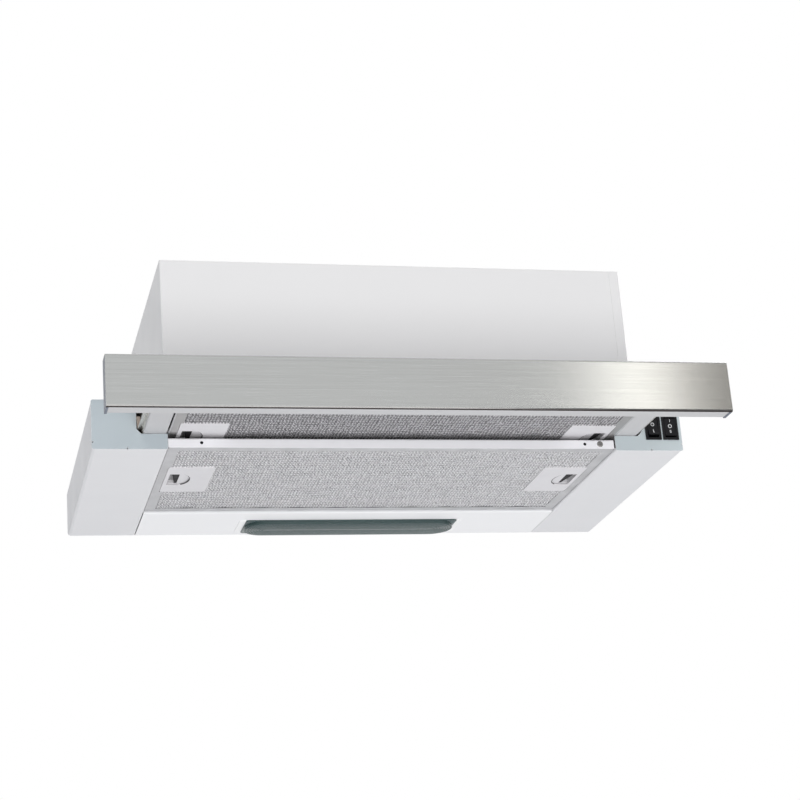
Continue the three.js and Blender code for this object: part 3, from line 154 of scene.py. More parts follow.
def build_grey_card():
    """A warm grey card beside the camera, which only the metal shows, at its right end."""
    material = bpy.data.materials.new("grey_card")
    material.use_nodes = True
    shader = next(node for node in material.node_tree.nodes if node.type == "BSDF_PRINCIPLED")
    shader.inputs["Base Color"].default_value = (0.0, 0.0, 0.0, 1.0)
    shader.inputs["Emission Color"].default_value = (*CARD_GREY, 1.0)
    shader.inputs["Emission Strength"].default_value = 1.0
    card = build_sheet("grey_card", CARD_HALF_WIDTH, CARD_HALF_HEIGHT, material)
    card.location = CARD_PLACE
    aim = Vector(CARD_AIM) - card.location
    card.rotation_euler = aim.to_track_quat("-Z", "Y").to_euler()
    for ray in ("camera", "diffuse", "transmission", "volume_scatter", "shadow"):
        setattr(card, f"visible_{ray}", False)


def build_floor():
    """A pale floor far under the hood, shaded by what stands over it."""
    surface = Surface("floor_plaster", (0.82, 0.82, 0.82), 0.9)
    grain = surface.noise(6.0, detail=4.0)
    surface.colour(surface.tint(grain, (0.80, 0.80, 0.80), (0.85, 0.85, 0.85)))
    surface.bump(surface.noise(120.0), 0.05, 0.001)
    floor = build_sheet("floor", FLOOR_SIZE / 2, FLOOR_SIZE / 2, surface.material)
    floor.location.z = FLOOR_LEVEL


# ---------------------------------------------------------------- surfaces


class Surface:
    """A Principled material, and the procedural nodes that feed its sockets."""

    def __init__(self, name, colour, roughness, metallic=0.0, **constants):
        self.material = bpy.data.materials.new(name)
        self.material.use_nodes = True
        self.tree = self.material.node_tree
        self.shader = next(n for n in self.tree.nodes if n.type == "BSDF_PRINCIPLED")
        self.set("Base Color", (*colour, 1.0))
        self.set("Roughness", roughness)
        self.set("Metallic", metallic)
        for socket, value in constants.items():
            self.set(socket.replace("_", " "), value)
        self.normal = None

    def set(self, socket, value):
        self.shader.inputs[socket].default_value = value

    def node(self, kind, **settings):
        node = self.tree.nodes.new(kind)
        for setting, value in settings.items():
            setattr(node, setting, value)
        return node

    def link(self, output, target):
        self.tree.links.new(output, target)

    def place(self, stretch=(1.0, 1.0, 1.0)):
        """The piece's own coordinates, in metres, stretched by a factor along each axis."""
        coordinates = self.node("ShaderNodeTexCoord")
        mapping = self.node("ShaderNodeMapping")
        mapping.inputs["Scale"].default_value = stretch
        self.link(coordinates.outputs["Object"], mapping.inputs["Vector"])
        return mapping.outputs["Vector"]

    def noise(self, scale, detail=2.0, stretch=(1.0, 1.0, 1.0), rough=0.5):
        noise = self.node("ShaderNodeTexNoise")
        noise.inputs["Scale"].default_value = scale
        noise.inputs["Detail"].default_value = detail
        noise.inputs["Roughness"].default_value = rough
        self.link(self.place(stretch), noise.inputs["Vector"])
        return noise.outputs[0]

    def spots(self, scale, stretch=(1.0, 1.0, 1.0), feature="F1"):
        cells = self.node("ShaderNodeTexVoronoi", feature=feature)
        cells.inputs["Scale"].default_value = scale
        self.link(self.place(stretch), cells.inputs["Vector"])
        return cells.outputs["Distance"]

    def combined(self, operation, first, second=0.0):
        """A step of arithmetic on an output and a number, or on two outputs."""
        step = self.node("ShaderNodeMath", operation=operation)
        self.link(first, step.inputs[0])
        if isinstance(second, float):
            step.inputs[1].default_value = second
        else:
            self.link(second, step.inputs[1])
        return step.outputs[0]

    def stripes(self, period, start, wander):
        """Stripes across X, 1 at start and every period on, -1 between, moved by wander."""
        place = self.node("ShaderNodeSeparateXYZ")
        self.link(self.place(), place.inputs[0])
        swing = 0.35 * period
        moved = self.combined("ADD", place.outputs["X"], -start)
        moved = self.combined("ADD", moved, self.spread(wander, -swing, swing))
        return self.combined("COSINE", self.combined("MULTIPLY", moved, 2 * math.pi / period))

    def spread(self, factor, low, high, start=0.3, stop=0.7):
        """factor, from start to stop, as a number from low to high."""
        spread = self.node("ShaderNodeMapRange")
        ends = {"From Min": start, "From Max": stop, "To Min": low, "To Max": high}
        for socket, value in ends.items():
            spread.inputs[socket].default_value = value
        self.link(factor, spread.inputs["Value"])
        return spread.outputs["Result"]

    def tint(self, factor, first, second):
        mix = self.node("ShaderNodeMix", data_type="RGBA")
        for socket, shade in ((6, first), (7, second)):
            if isinstance(shade, tuple):
                mix.inputs[socket].default_value = (*shade, 1.0)
            else:
                self.link(shade, mix.inputs[socket])
        self.link(factor, mix.inputs[0])
        return mix.outputs[2]

    def colour(self, output):
        self.link(output, self.shader.inputs["Base Color"])

    def roughness(self, factor, low, high):
        self.link(self.spread(factor, low, high), self.shader.inputs["Roughness"])

    def bump(self, height, strength, distance):
        """Adds relief, distance in metres, over the relief that is there already."""
        bump = self.node("ShaderNodeBump")
        bump.inputs["Strength"].default_value = strength
        bump.inputs["Distance"].default_value = distance
        self.link(height, bump.inputs["Height"])
        if self.normal is not None:
            self.link(self.normal, bump.inputs["Normal"])
        self.normal = bump.outputs["Normal"]
        self.link(self.normal, self.shader.inputs["Normal"])

    def edges(self, width):
        """About 1 on sharp edges and 0 on flats, from the turn of a softened normal."""
        soft = self.node("ShaderNodeBevel", samples=6)
        soft.inputs["Radius"].default_value = width
        facing = self.node("ShaderNodeNewGeometry")
        turn = self.node("ShaderNodeVectorMath", operation="DOT_PRODUCT")
        self.link(soft.outputs["Normal"], turn.inputs[0])
        self.link(facing.outputs["Normal"], turn.inputs[1])
        return self.spread(turn.outputs["Value"], 1.0, 0.0, 0.75, 0.98)

    def facing(self, direction, start=0.5, stop=0.9):
        """1 where the surface faces a direction of the row frame, and 0 elsewhere."""
        geometry = self.node("ShaderNodeNewGeometry")
        turn = self.node("ShaderNodeVectorMath", operation="DOT_PRODUCT")
        turn.inputs[1].default_value = direction
        self.link(geometry.outputs["True Normal"], turn.inputs[0])
        return self.spread(turn.outputs["Value"], 0.0, 1.0, start, stop)


def scaled(colour, factor):
    return tuple(min(1.0, channel * factor) for channel in colour)


def powder_coat(name, colour, roughness=0.42, painted_front_shade=None):
    """Satin powder coat: orange peel, a fine grain, worn edges and dust in large soft patches.
    What faces the hood's front may be given a colour of its own, a painted shade for the light that
    falls there."""
    surface = Surface(name, colour, roughness, Specular_IOR_Level=0.45)
    patches = surface.noise(5.0, detail=3.0)
    shade = surface.tint(patches, scaled(colour, 0.975), scaled(colour, 1.015))
    # Painted shade: faces turned to the hood's front take their own colour, for the light that
    # falls on them.
    if painted_front_shade is not None:
        shade = surface.tint(surface.facing((0.0, -1.0, 0.0)), shade, painted_front_shade)
    flecks = surface.spread(surface.noise(2600.0), 0.0, 0.25, 0.66, 0.8)
    shade = surface.tint(flecks, shade, scaled(colour, 0.86))
    worn = surface.edges(0.0009)
    surface.colour(surface.tint(worn, shade, scaled(colour, 1.06)))
    surface.roughness(surface.noise(26.0, detail=4.0), roughness - 0.05, roughness + 0.08)
    surface.bump(surface.noise(620.0, detail=1.0), 0.16, 0.00006)
    surface.bump(surface.noise(3400.0), 0.10, 0.00002)
    return surface.material


def brushed_steel(name):
    """Stainless steel with long brushing along X, a thin warm film and a painted dark reflection on
    its downward faces, under the folded bottom edge.
    """
    base, painted_hem_shade = (0.42, 0.43, 0.425), (0.045, 0.038, 0.036)
    surface = Surface(name, base, 0.24, 1.0, Anisotropic=0.9)
    tangent = surface.node("ShaderNodeTangent", direction_type="RADIAL", axis="X")
    surface.link(tangent.outputs["Tangent"], surface.shader.inputs["Tangent"])
    long_grain = surface.noise(1.0, detail=3.0, stretch=(3.0, 900.0, 1500.0), rough=0.6)
    short_grain = surface.noise(1.0, detail=4.0, stretch=(22.0, 2200.0, 4200.0), rough=0.7)
    film = surface.noise(4.0, detail=2.0, stretch=(1.0, 1.0, 0.4))
    streaks = surface.spread(long_grain, 0.0, 1.0)
    shade = surface.tint(streaks, scaled(base, 0.93), scaled(base, 1.05))
    scratches = surface.spread(short_grain, 0.0, 0.5, 0.45, 0.7)
    shade = surface.tint(scratches, shade, scaled(base, 1.12))
    shade = surface.tint(surface.spread(film, 0.0, 0.12), shade, scaled((1.03, 1.0, 0.95), base[0]))
    worn = surface.edges(0.0007)
    shade = surface.tint(surface.spread(worn, 0.0, 0.7, 0.0, 1.0), shade, scaled(base, 1.3))
    # Painted reflection: faces turned down are a dark brown, for the dark reflection under the
    # folded bottom edge.
    surface.colour(surface.tint(surface.facing((0.0, 0.0, -1.0), 0.12, 0.5), shade, painted_hem_shade))
    surface.roughness(short_grain, 0.20, 0.28)
    surface.bump(short_grain, 0.18, 0.00002)
    surface.bump(long_grain, 0.10, 0.00003)
    return surface.material


def moulded_plastic(name, colour, roughness, grain=1500.0, depth=0.00003, specular=0.5):
    """Injection-moulded plastic: a spark-eroded grain, faint flow marks and polished edges."""
    surface = Surface(name, colour, roughness, Specular_IOR_Level=specular)
    flow = surface.noise(14.0, detail=2.0, stretch=(1.0, 1.0, 3.0))
    shade = surface.tint(flow, scaled(colour, 0.94), scaled(colour, 1.05))
    worn = surface.spread(surface.edges(0.0006), 0.0, 0.6, 0.0, 1.0)
    surface.colour(surface.tint(worn, shade, scaled(colour, 1.18)))
    surface.roughness(surface.noise(180.0, detail=3.0), roughness - 0.06, roughness + 0.08)
    surface.bump(surface.spots(grain), 0.18, depth)
    return surface.material


def plated_steel(name, colour, warm, roughness=0.30):
    """Zinc-plated steel: a fine rolled grain, a soft spangle and a yellow passivation bloom."""
    surface = Surface(name, colour, roughness, 1.0)
    bloom = surface.noise(30.0, detail=4.0)
    spangle = surface.spread(surface.spots(420.0), 0.0, 1.0, 0.1, 0.7)
    shade = surface.tint(spangle, scaled(colour, 0.90), scaled(colour, 1.08))
    surface.colour(surface.tint(surface.spread(bloom, 0.0, 0.8), shade, warm))
    surface.roughness(surface.noise(260.0, detail=3.0), roughness - 0.06, roughness + 0.12)
    surface.bump(surface.noise(1.0, detail=3.0, stretch=(900.0, 60.0, 900.0)), 0.12, 0.00002)
    return surface.material


def rolled_aluminium(name, colour=(0.77, 0.765, 0.775), roughness=0.38, painted_seam_shade=None):
    """Mill-finished aluminium: rolling lines, a dull oxide and small bright scuffs. What faces
    the hood's front may be given a dark painted shade, for the shadow under a folded edge."""
    surface = Surface(name, colour, roughness, 1.0)
    lines = surface.noise(1.0, detail=3.0, stretch=(40.0, 900.0, 900.0))
    oxide = surface.noise(60.0, detail=5.0)
    dull = surface.spread(oxide, 0.0, 1.0)
    shade = surface.tint(dull, scaled(colour, 0.88), scaled(colour, 1.06))
    scuffs = surface.spread(surface.noise(700.0, detail=2.0), 0.0, 0.5, 0.62, 0.76)
    shade = surface.tint(scuffs, shade, scaled(colour, 1.18))
    # Painted shade: faces turned to the hood's front are darkened.
    if painted_seam_shade is not None:
        shade = surface.tint(surface.facing((0.0, -1.0, 0.0)), shade, painted_seam_shade)
    surface.colour(shade)
    surface.roughness(oxide, roughness - 0.08, roughness + 0.14)
    surface.bump(lines, 0.15, 0.00003)
    surface.bump(surface.noise(240.0), 0.10, 0.00010)
    return surface.material


def polished_steel(name):
    surface = Surface(name, (0.78, 0.78, 0.79), 0.12, 1.0)
    haze = surface.noise(900.0, detail=3.0)
    surface.colour(surface.tint(haze, (0.72, 0.72, 0.73), (0.82, 0.82, 0.82)))
    surface.roughness(haze, 0.08, 0.22)
    surface.bump(haze, 0.04, 0.00001)
    return surface.material


def lacquered_steel(name):
    """The motor's stamped shell: grey lacquer over steel, with scuffs down to the metal."""
    surface = Surface(name, (0.33, 0.34, 0.35), 0.5, 0.75)
    mottle = surface.noise(160.0, detail=5.0)
    scuffs = surface.spread(surface.noise(520.0, detail=3.0), 0.0, 0.8, 0.6, 0.72)
    shade = surface.tint(mottle, (0.27, 0.28, 0.29), (0.40, 0.41, 0.42))
    surface.colour(surface.tint(scuffs, shade, (0.58, 0.58, 0.57)))
    surface.roughness(mottle, 0.40, 0.62)
    surface.bump(surface.noise(1200.0, detail=3.0), 0.2, 0.00004)
    return surface.material


def lens_plastic(name):
    """Grey-green translucent polycarbonate, glossy."""
    surface = Surface(
        name, (0.075, 0.125, 0.125), 0.16,
        Transmission_Weight=0.35, IOR=1.52, Specular_IOR_Level=0.3)
    haze = surface.noise(24.0, detail=3.0, stretch=(0.4, 1.0, 1.0))
    surface.colour(surface.tint(haze, (0.045, 0.085, 0.085), (0.08, 0.13, 0.128)))
    surface.roughness(surface.noise(90.0, detail=3.0), 0.10, 0.22)
    surface.bump(surface.noise(300.0), 0.06, 0.0001)
    return surface.material


def opal_glass(name):
    surface = Surface(name, (0.88, 0.87, 0.83), 0.16, Coat_Weight=0.4, Subsurface_Weight=0.2)
    clouds = surface.noise(60.0, detail=3.0)
    surface.colour(surface.tint(clouds, (0.84, 0.83, 0.79), (0.91, 0.90, 0.87)))
    surface.roughness(clouds, 0.12, 0.24)
    surface.bump(surface.noise(400.0), 0.03, 0.0001)
    return surface.material


def unglazed_ceramic(name):
    surface = Surface(name, (0.84, 0.81, 0.74), 0.75)
    pores = surface.spots(1300.0)
    depth = surface.spread(pores, 0.0, 1.0, 0.0, 0.5)
    surface.colour(surface.tint(depth, (0.70, 0.66, 0.58), (0.87, 0.84, 0.78)))
    surface.roughness(surface.noise(200.0), 0.68, 0.85)
    surface.bump(pores, 0.3, 0.00008)
    return surface.material


def printed_mark(name):
    """The pale ink of the switch marks, slightly worn."""
    surface = Surface(name, (0.78, 0.79, 0.80), 0.5)
    wear = surface.noise(900.0, detail=3.0)
    surface.colour(surface.tint(wear, (0.68, 0.69, 0.70), (0.86, 0.87, 0.88)))
    surface.roughness(wear, 0.42, 0.6)
    surface.bump(wear, 0.1, 0.00002)
    return surface.material


WHITE = (0.815, 0.805, 0.80)
ARM_WHITE = (0.755, 0.75, 0.76)
PAINTED_SEAM_SHADE = (0.10, 0.10, 0.105)     # painted shade of a filter's front-facing faces, for the shadow between its folded edge and its mesh
FINISHES = {
    "white_paint": powder_coat("white_powder_coat", WHITE),
    # The arms' white coat, with a bluish painted shade on the faces towards the front.
    "blue_white_paint": powder_coat(
        "arm_coat_with_painted_front_shade", ARM_WHITE, painted_front_shade=(0.47, 0.525, 0.555)),
    "brushed_steel": brushed_steel("brushed_stainless_steel"),
    "slate_plastic": moulded_plastic("slate_plastic", (0.155, 0.172, 0.215), 0.45),
    "white_plastic": moulded_plastic("white_plastic", (0.71, 0.695, 0.71), 0.42, depth=0.00002),
    "filter_aluminium": rolled_aluminium("filter_aluminium", (0.66, 0.655, 0.665), painted_seam_shade=PAINTED_SEAM_SHADE),
    "zinc": plated_steel("zinc_plate", (0.70, 0.68, 0.65), (0.70, 0.66, 0.59)),
    "ball_steel": polished_steel("ball_steel"),
    "black_plastic": moulded_plastic("black_plastic", (0.011, 0.011, 0.013), 0.34, specular=0.14),
    "grey_plastic": moulded_plastic("grey_polypropylene", (0.12, 0.125, 0.13), 0.5, grain=900.0),
    "lens_plastic": lens_plastic("lens_plastic"),
    "bulb_glass": opal_glass("opal_glass"),
    "ceramic": unglazed_ceramic("lamp_ceramic"),
    "motor_metal": lacquered_steel("motor_lacquer"),
}
# Painted light: the lamp panel takes a lighter copy of the white coat, with a darker painted shade
# on its front fold.
LAMP_PANEL_LIT_WHITE = powder_coat(
    "lamp_panel_coat_painted_light", (0.91, 0.905, 0.91), 0.38, painted_front_shade=(0.70, 0.70, 0.71))
# Painted light: the crossbar takes a lighter copy of the white coat.
CROSSBAR_LIT_WHITE = powder_coat("crossbar_coat_painted_light", (0.89, 0.88, 0.90), 0.40)
# Painted light: the right arm's front is painted lighter than the left arm's.
RIGHT_ARM_LIT_WHITE = powder_coat("right_arm_coat_painted_light", ARM_WHITE, painted_front_shade=(0.53, 0.59, 0.61))
# Painted shade: the front filter's frame takes a darker copy of the aluminium.
FRONT_FRAME_SHADED = rolled_aluminium("front_frame_aluminium_painted_shade", (0.50, 0.49, 0.485), 0.45, painted_seam_shade=PAINTED_SEAM_SHADE)
SCREW_ZINC = plated_steel("screw_zinc", (0.30, 0.30, 0.30), (0.33, 0.31, 0.28), 0.38)
# Painted shade: the carriage's beams and the panel carrier take a grey copy of the white coat.
BEAM_SHADED_GREY = powder_coat("beam_coat_painted_shade", (0.57, 0.565, 0.57), 0.42)
SWITCH_MARK = printed_mark("switch_mark_ink")

build_camera()
build_world()
build_lights()
build_grey_card()
build_floor()

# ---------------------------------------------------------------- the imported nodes

NODE_SLOT = {part["node"]: part["material_slot"] for part in frame["record"]["subparts"]}
FINE_SHAPES = ("impeller", "scroll_left", "scroll_right")   # too intricate for a rounded edge
EDGE_WIDTH = 0.25 * MM         # of the rounding of a node's sharp edges
EDGE_ANGLE = 34.0              # degrees, from which an edge is rounded
FLAT_ANGLE = 0.6               # degrees, below which two faces are one
JOINED = 0.002 * MM            # vertices nearer than this are one
THINNING = 0.1 * MM            # of the switch housing that a panel end cap passes
# Nodes that take a lighter or darker copy of a finish, as painted light and shade.
OWN_FINISH = {
    "lamp_panel": LAMP_PANEL_LIT_WHITE, "right_arm": RIGHT_ARM_LIT_WHITE, "panel_carrier": BEAM_SHADED_GREY,
    "front_filter_frame": FRONT_FRAME_SHADED, "front_crossbar": CROSSBAR_LIT_WHITE,
    "carriage_beam_left": BEAM_SHADED_GREY, "carriage_beam_right": BEAM_SHADED_GREY,
}


def round_edges(piece):
    """Merges a faceted piece's flats and rounds its sharp edges, with even shading."""
    weld = piece.modifiers.new("weld", "WELD")
    weld.merge_threshold = JOINED
    flats = piece.modifiers.new("flats", "DECIMATE")
    flats.decimate_type = "DISSOLVE"
    flats.angle_limit = math.radians(FLAT_ANGLE)
    bevel = piece.modifiers.new("bevel", "BEVEL")
    bevel.width = EDGE_WIDTH
    bevel.segments = 2
    bevel.limit_method = "ANGLE"
    bevel.angle_limit = math.radians(EDGE_ANGLE)
    bevel.use_clamp_overlap = True
    bevel.harden_normals = True
    shading = piece.modifiers.new("normals", "WEIGHTED_NORMAL")
    shading.keep_sharp = True


def draw_in(piece, distance):
    """Thins a piece a little, so that it doesn't rub where its face meets another's."""
    thinner = piece.modifiers.new("thinner", "DISPLACE")
    thinner.direction = "NORMAL"
    thinner.mid_level = 0.0
    thinner.strength = -distance


def finish_nodes():
    for name, node in frame["nodes"].items():
        node.data.materials.clear()
        node.data.materials.append(OWN_FINISH.get(name, FINISHES[NODE_SLOT[name]]))
        if name not in FINE_SHAPES:
            round_edges(node)
        if name == "fan_switch_housing":
            draw_in(node, THINNING)


finish_nodes()

# ---------------------------------------------------------------- pieces made here


def add_piece(name, shape, body, slot, finish=None, smooth=False):
    """Makes an object of a bmesh in the row frame, and lets it ride on a body."""
    mesh = bpy.data.meshes.new(name)
    bmesh.ops.recalc_face_normals(shape, faces=shape.faces)
    shape.to_mesh(mesh)
    shape.free()
    mesh.materials.append(finish or FINISHES[slot])
    if smooth:
        mesh.shade_smooth()
    piece = bpy.data.objects.new(name, mesh)
    bpy.context.scene.collection.objects.link(piece)
    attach(piece, body)
    return piece


def split_edges(piece, angle):
    """Keeps a smooth piece crisp along the edges that turn by more than an angle, in degrees."""
    split = piece.modifiers.new("edges", "EDGE_SPLIT")
    split.split_angle = math.radians(angle)


def circle(radius, count=28):
    turns = [2 * math.pi * i / count for i in range(count)]
    return [(radius * math.cos(turn), radius * math.sin(turn)) for turn in turns]


def arc(radius, start, sweep=90, steps=6):
    """Points round the origin, from start through a sweep, both in degrees."""
    turns = [math.radians(start + sweep * i / steps) for i in range(steps + 1)]
    return [(radius * math.cos(turn), radius * math.sin(turn)) for turn in turns]


def band(shape, first, second):
    """Faces between two closed rings of as many vertices."""
    count = len(first)
    for i in range(count):
        shape.faces.new((first[i], first[(i + 1) % count], second[(i + 1) % count], second[i]))


def skin(shape, levels):
    """Faces between levels of as many points each. Returns the levels' vertices."""
    rings = [[shape.verts.new(spot) for spot in level] for level in levels]
    for first, second in zip(rings, rings[1:]):
        band(shape, first, second)
    return rings


def fill(shape, rings):
    """Triangles inside a flat ring of vertices, or between a ring and the hole in it."""
    edges = []
    for ring in rings:
        for pair in zip(ring, ring[1:] + ring[:1]):
            edges.append(shape.edges.get(pair) or shape.edges.new(pair))
    bmesh.ops.triangle_fill(shape, use_beauty=True, edges=edges)


# ---------------------------------------------------------------- expanded metal of the filters

FILTERS = (("rear", "hood_body"), ("front", "carriage"))
DIAMOND_WIDE = 3.2 * MM
DIAMOND_LONG = 6.4 * MM
STRAND = 0.8 * MM
CORRUGATION = 0.9 * MM         # every second column of joints stands out this far
UNEVEN = 0.13 * MM
PACK_CELL_WIDE = 40 * MM       # the pack's coarse embossing
PACK_CELL_LONG = 26 * MM
PACK_EMBOSS = 0.9 * MM
BORDER = 10 * MM               # of the filter's folded edge
TUCKED = 2 * MM                # of the metal under that edge
ROUND_LATCH = 0.4 * MM         # clear round each latch housing
FINEST = 0.05 * MM             # joints nearer than this are one


def pack_surface(low, high):
    """The pack's embossed underside, as a function of x and y."""
    columns = round((high.x - low.x) / PACK_CELL_WIDE)
    rows = round((high.y - low.y) / PACK_CELL_LONG)

    def height(x, y):
        along = (x - low.x) / (high.x - low.x) * columns % 1.0
        across = (y - low.y) / (high.y - low.y) * rows % 1.0
        return low.z + PACK_EMBOSS * max(abs(2 * along - 1), abs(2 * across - 1))

    return height


def pushed_out(x, y, rooms):
    """The point, or the nearest point on the edge of the room that it lies in."""
    for left, front, right, rear in rooms:
        if left < x < right and front < y < rear:
            moves = {
                x - left: (left, y), right - x: (right, y),
                y - front: (x, front), rear - y: (x, rear)}
            return moves[min(moves)]
    return x, y


def expanded_metal(word, body, finish):
    """The slit and stretched sheet under a filter's pack, cut round the latch housings."""
    low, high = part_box(f"{word}_filter_mesh")
    edge_low, edge_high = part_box(f"{word}_filter_frame")
    inset = BORDER - TUCKED
    left, right = edge_low.x + inset, edge_high.x - inset
    front, rear = edge_low.y + inset, edge_high.y - inset
    rooms = []
    for side, _ in SIDES:
        near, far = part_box(f"{word}_latch_housing_{side}")
        rooms.append((
            near.x - ROUND_LATCH, near.y - ROUND_LATCH, far.x + ROUND_LATCH, far.y + ROUND_LATCH))
    surface = pack_surface(low, high)
    columns = math.ceil((right - left) / DIAMOND_WIDE) * 2
    rows = math.ceil((rear - front) / DIAMOND_LONG) * 2
    shape = bmesh.new()
    corners = {}
    chance = random.Random(word)

    def corner(column, row):
        if (column, row) not in corners:
            x = left + column * DIAMOND_WIDE / 2 + chance.uniform(-UNEVEN, UNEVEN)
            y = front + row * DIAMOND_LONG / 2 + 3 * chance.uniform(-UNEVEN, UNEVEN)
            x, y = pushed_out(min(max(x, left), right), min(max(y, front), rear), rooms)
            rise = CORRUGATION * (column % 2) + chance.uniform(0.0, UNEVEN)
            z = surface(x, y) - STRAND / 2 - CORRUGATION + rise
            corners[column, row] = shape.verts.new((x, y, z))
        return corners[column, row]

    for row in range(rows + 1):
        for column in range((row + 1) % 2, columns + 1, 2):
            x = left + column * DIAMOND_WIDE / 2
            y = front + row * DIAMOND_LONG / 2
            inside = left < x < right and front < y < rear
            if inside and pushed_out(x, y, rooms) == (x, y):
                ring = [corner(column - 1, row), corner(column, row - 1)]
                ring += [corner(column + 1, row), corner(column, row + 1)]
                shape.faces.new(ring)
    bmesh.ops.remove_doubles(shape, verts=shape.verts, dist=FINEST)
    sheet = add_piece(f"{word}_expanded_metal", shape, body, "filter_aluminium", finish)
    strands = sheet.modifiers.new("strands", "WIREFRAME")
    strands.thickness = STRAND
    strands.offset = 0.0
    strands.use_even_offset = True
    strands.use_boundary = True


def expanded_metal_finish(name, light, dull, start):
    """Drawn strands with painted light and shade: stripes along their length, on the columns of
    joints, bright where the strands stand out and dull between.
    """
    colour = scaled((0.93, 0.905, 0.93), light)
    surface = Surface(name, colour, 0.42, 0.6)
    drawn = surface.noise(1.0, detail=2.0, stretch=(150.0, 60.0, 40.0), rough=0.6)
    # Painted light and shade: stripes on the columns of joints, bright where they stand out and
    # darkened by dull between them.
    stripes = surface.stripes(DIAMOND_WIDE, start, drawn)
    specks = surface.noise(480.0, detail=1.0)
    bright = surface.spread(stripes, 0.0, 1.0, -0.8, 0.7)
    shade = surface.tint(bright, scaled(colour, dull), scaled(colour, 1.06))
    dark = surface.spread(specks, 0.0, 0.5, 0.58, 0.74)
    surface.colour(surface.tint(dark, shade, scaled(colour, 0.5)))
    oxide = surface.noise(36.0, detail=4.0)
    surface.roughness(oxide, 0.28, 0.48)
    surface.bump(drawn, 0.2, 0.00003)
    return surface.material


def pack_core_finish(name, light):
    """The stacked layers behind the outer sheet, coloured as painted shade: dark gaps between small
    bright strands, darker still in patches for depth.
    """
    surface = Surface(name, scaled((0.36, 0.36, 0.37), light), 0.5, 0.6)
    strands = surface.spots(1.0, stretch=(420.0, 230.0, 420.0), feature="DISTANCE_TO_EDGE")
    # Painted shade: the layers are darkest in patches, for depth in the pack.
    depth_shade = surface.noise(700.0, detail=3.0)
    deep, near = scaled((0.10, 0.10, 0.105), light), scaled((0.34, 0.34, 0.345), light)
    shade = surface.tint(surface.spread(depth_shade, 0.0, 1.0), deep, near)
    strand = surface.spread(strands, 1.0, 0.0, 0.05, 0.22)
    surface.colour(surface.tint(strand, shade, scaled((0.60, 0.595, 0.60), light)))
    surface.roughness(depth_shade, 0.42, 0.62)
    surface.bump(strands, 0.6, 0.0004)
    return surface.material


def dress_filters():
    # Painted shade: the front filter's metal and layers are darker than the rear's, and duller
    # between stripes, for the shade of the front panel and crossbar over it.
    lights = {"rear": (1.04, 0.66), "front": (0.80, 0.36)}   # of the metal, and between stripes
    for word, body in FILTERS:
        light, dull = lights[word]
        core = pack_core_finish(f"{word}_aluminium_layers", 1.2 * light)
        frame["nodes"][f"{word}_filter_mesh"].data.materials[0] = core
        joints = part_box(f"{word}_filter_frame")[0].x + BORDER - TUCKED + DIAMOND_WIDE / 2
        finish = expanded_metal_finish(f"{word}_expanded_aluminium", light, dull, joints)
        expanded_metal(word, body, finish)


dress_filters()

# ---------------------------------------------------------------- lamp lens

LENS_FLANGE = 1.4 * MM
LENS_CORNER = 3.5 * MM         # radius of the flange's corners
LENS_CHAMFER = 0.3 * MM
LENS_RIM = 0.6 * MM            # of flange round the dome
LENS_STEP = 2.8 * MM           # from the flange to the dome's edge
LENS_RIBS = 7
LENS_RIB = 0.8 * MM
LENS_WALL = 1.8 * MM
LENS_SPLIT = 38                # degrees


def build_lens():
    """The clipped lens: a flat flange with square corners round a ribbed, hollow dome."""
    low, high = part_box("lamp_lens")
    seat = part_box("lamp_panel")[0].z
    middle = (low.y + high.y) / 2
    half = (high.y - low.y) / 2 - LENS_RIM
    left, right = low.x + LENS_RIM, high.x - LENS_RIM
    edge = LENS_FLANGE + LENS_STEP
    bulge = seat - low.z

    def level(inset, depth):
        """Points round the dome's two ends, from the right end's front."""
        radius, spots = half - inset, []
        for x, start in ((right - inset - radius, -90), (left + inset + radius, 90)):
            spots += [(x + dx, middle + dy, seat - depth) for dx, dy in arc(radius, start, 180, 20)]
        return spots

    # the foot's fillet, the wall and its rounded edge, and then the ribs
    outside = [level(-0.15 * MM, LENS_FLANGE), level(0.0, LENS_FLANGE + 0.1 * MM)]
    outside += [level(0.1 * MM, edge - 0.25 * MM), level(0.35 * MM, edge)]
    steps = 6 * LENS_RIBS
    for i in range(steps + 1):
        share = i / steps
        rise = edge + (bulge - edge) * (1 - (1 - share) ** 3)
        groove = LENS_RIB * max(0.0, math.sin(2 * math.pi * LENS_RIBS * share)) ** 2
        outside.append(level(0.5 * MM + share * (half - 1.3 * MM), rise - groove))
    roof = bulge - LENS_WALL
    inside = [level(LENS_WALL, 0.0), level(LENS_WALL, edge - LENS_WALL)]
    inside += [level(half / 2, roof), level(half - 1.0 * MM, roof)]

    shape = bmesh.new()
    outer = skin(shape, outside)
    inner = skin(shape, inside)
    shape.faces.new(outer[-1])
    shape.faces.new(inner[-1])
    outline = []
    for x, y, start in (
            (high.x - LENS_CORNER, low.y + LENS_CORNER, -90),
            (high.x - LENS_CORNER, high.y - LENS_CORNER, 0),
            (low.x + LENS_CORNER, high.y - LENS_CORNER, 90),
            (low.x + LENS_CORNER, low.y + LENS_CORNER, 180)):
        outline += [(x + dx, y + dy) for dx, dy in arc(LENS_CORNER, start)]

    def rim(inset, depth):
        ring = []
        for x, y in outline:
            inward = math.copysign(inset, left + half - x), math.copysign(inset, middle - y)
            ring.append(shape.verts.new((x + inward[0], y + inward[1], seat - depth)))
        return ring

    side = rim(0.0, LENS_FLANGE - LENS_CHAMFER)
    face = rim(LENS_CHAMFER, LENS_FLANGE)
    back = rim(0.0, 0.0)
    band(shape, side, face)
    band(shape, back, side)
    fill(shape, (face, outer[0]))
    fill(shape, (back, inner[0]))
    piece = add_piece("moulded_lens", shape, "hood_body", "lens_plastic", smooth=True)
    split_edges(piece, LENS_SPLIT)
    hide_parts("lamp_lens")


build_lens()

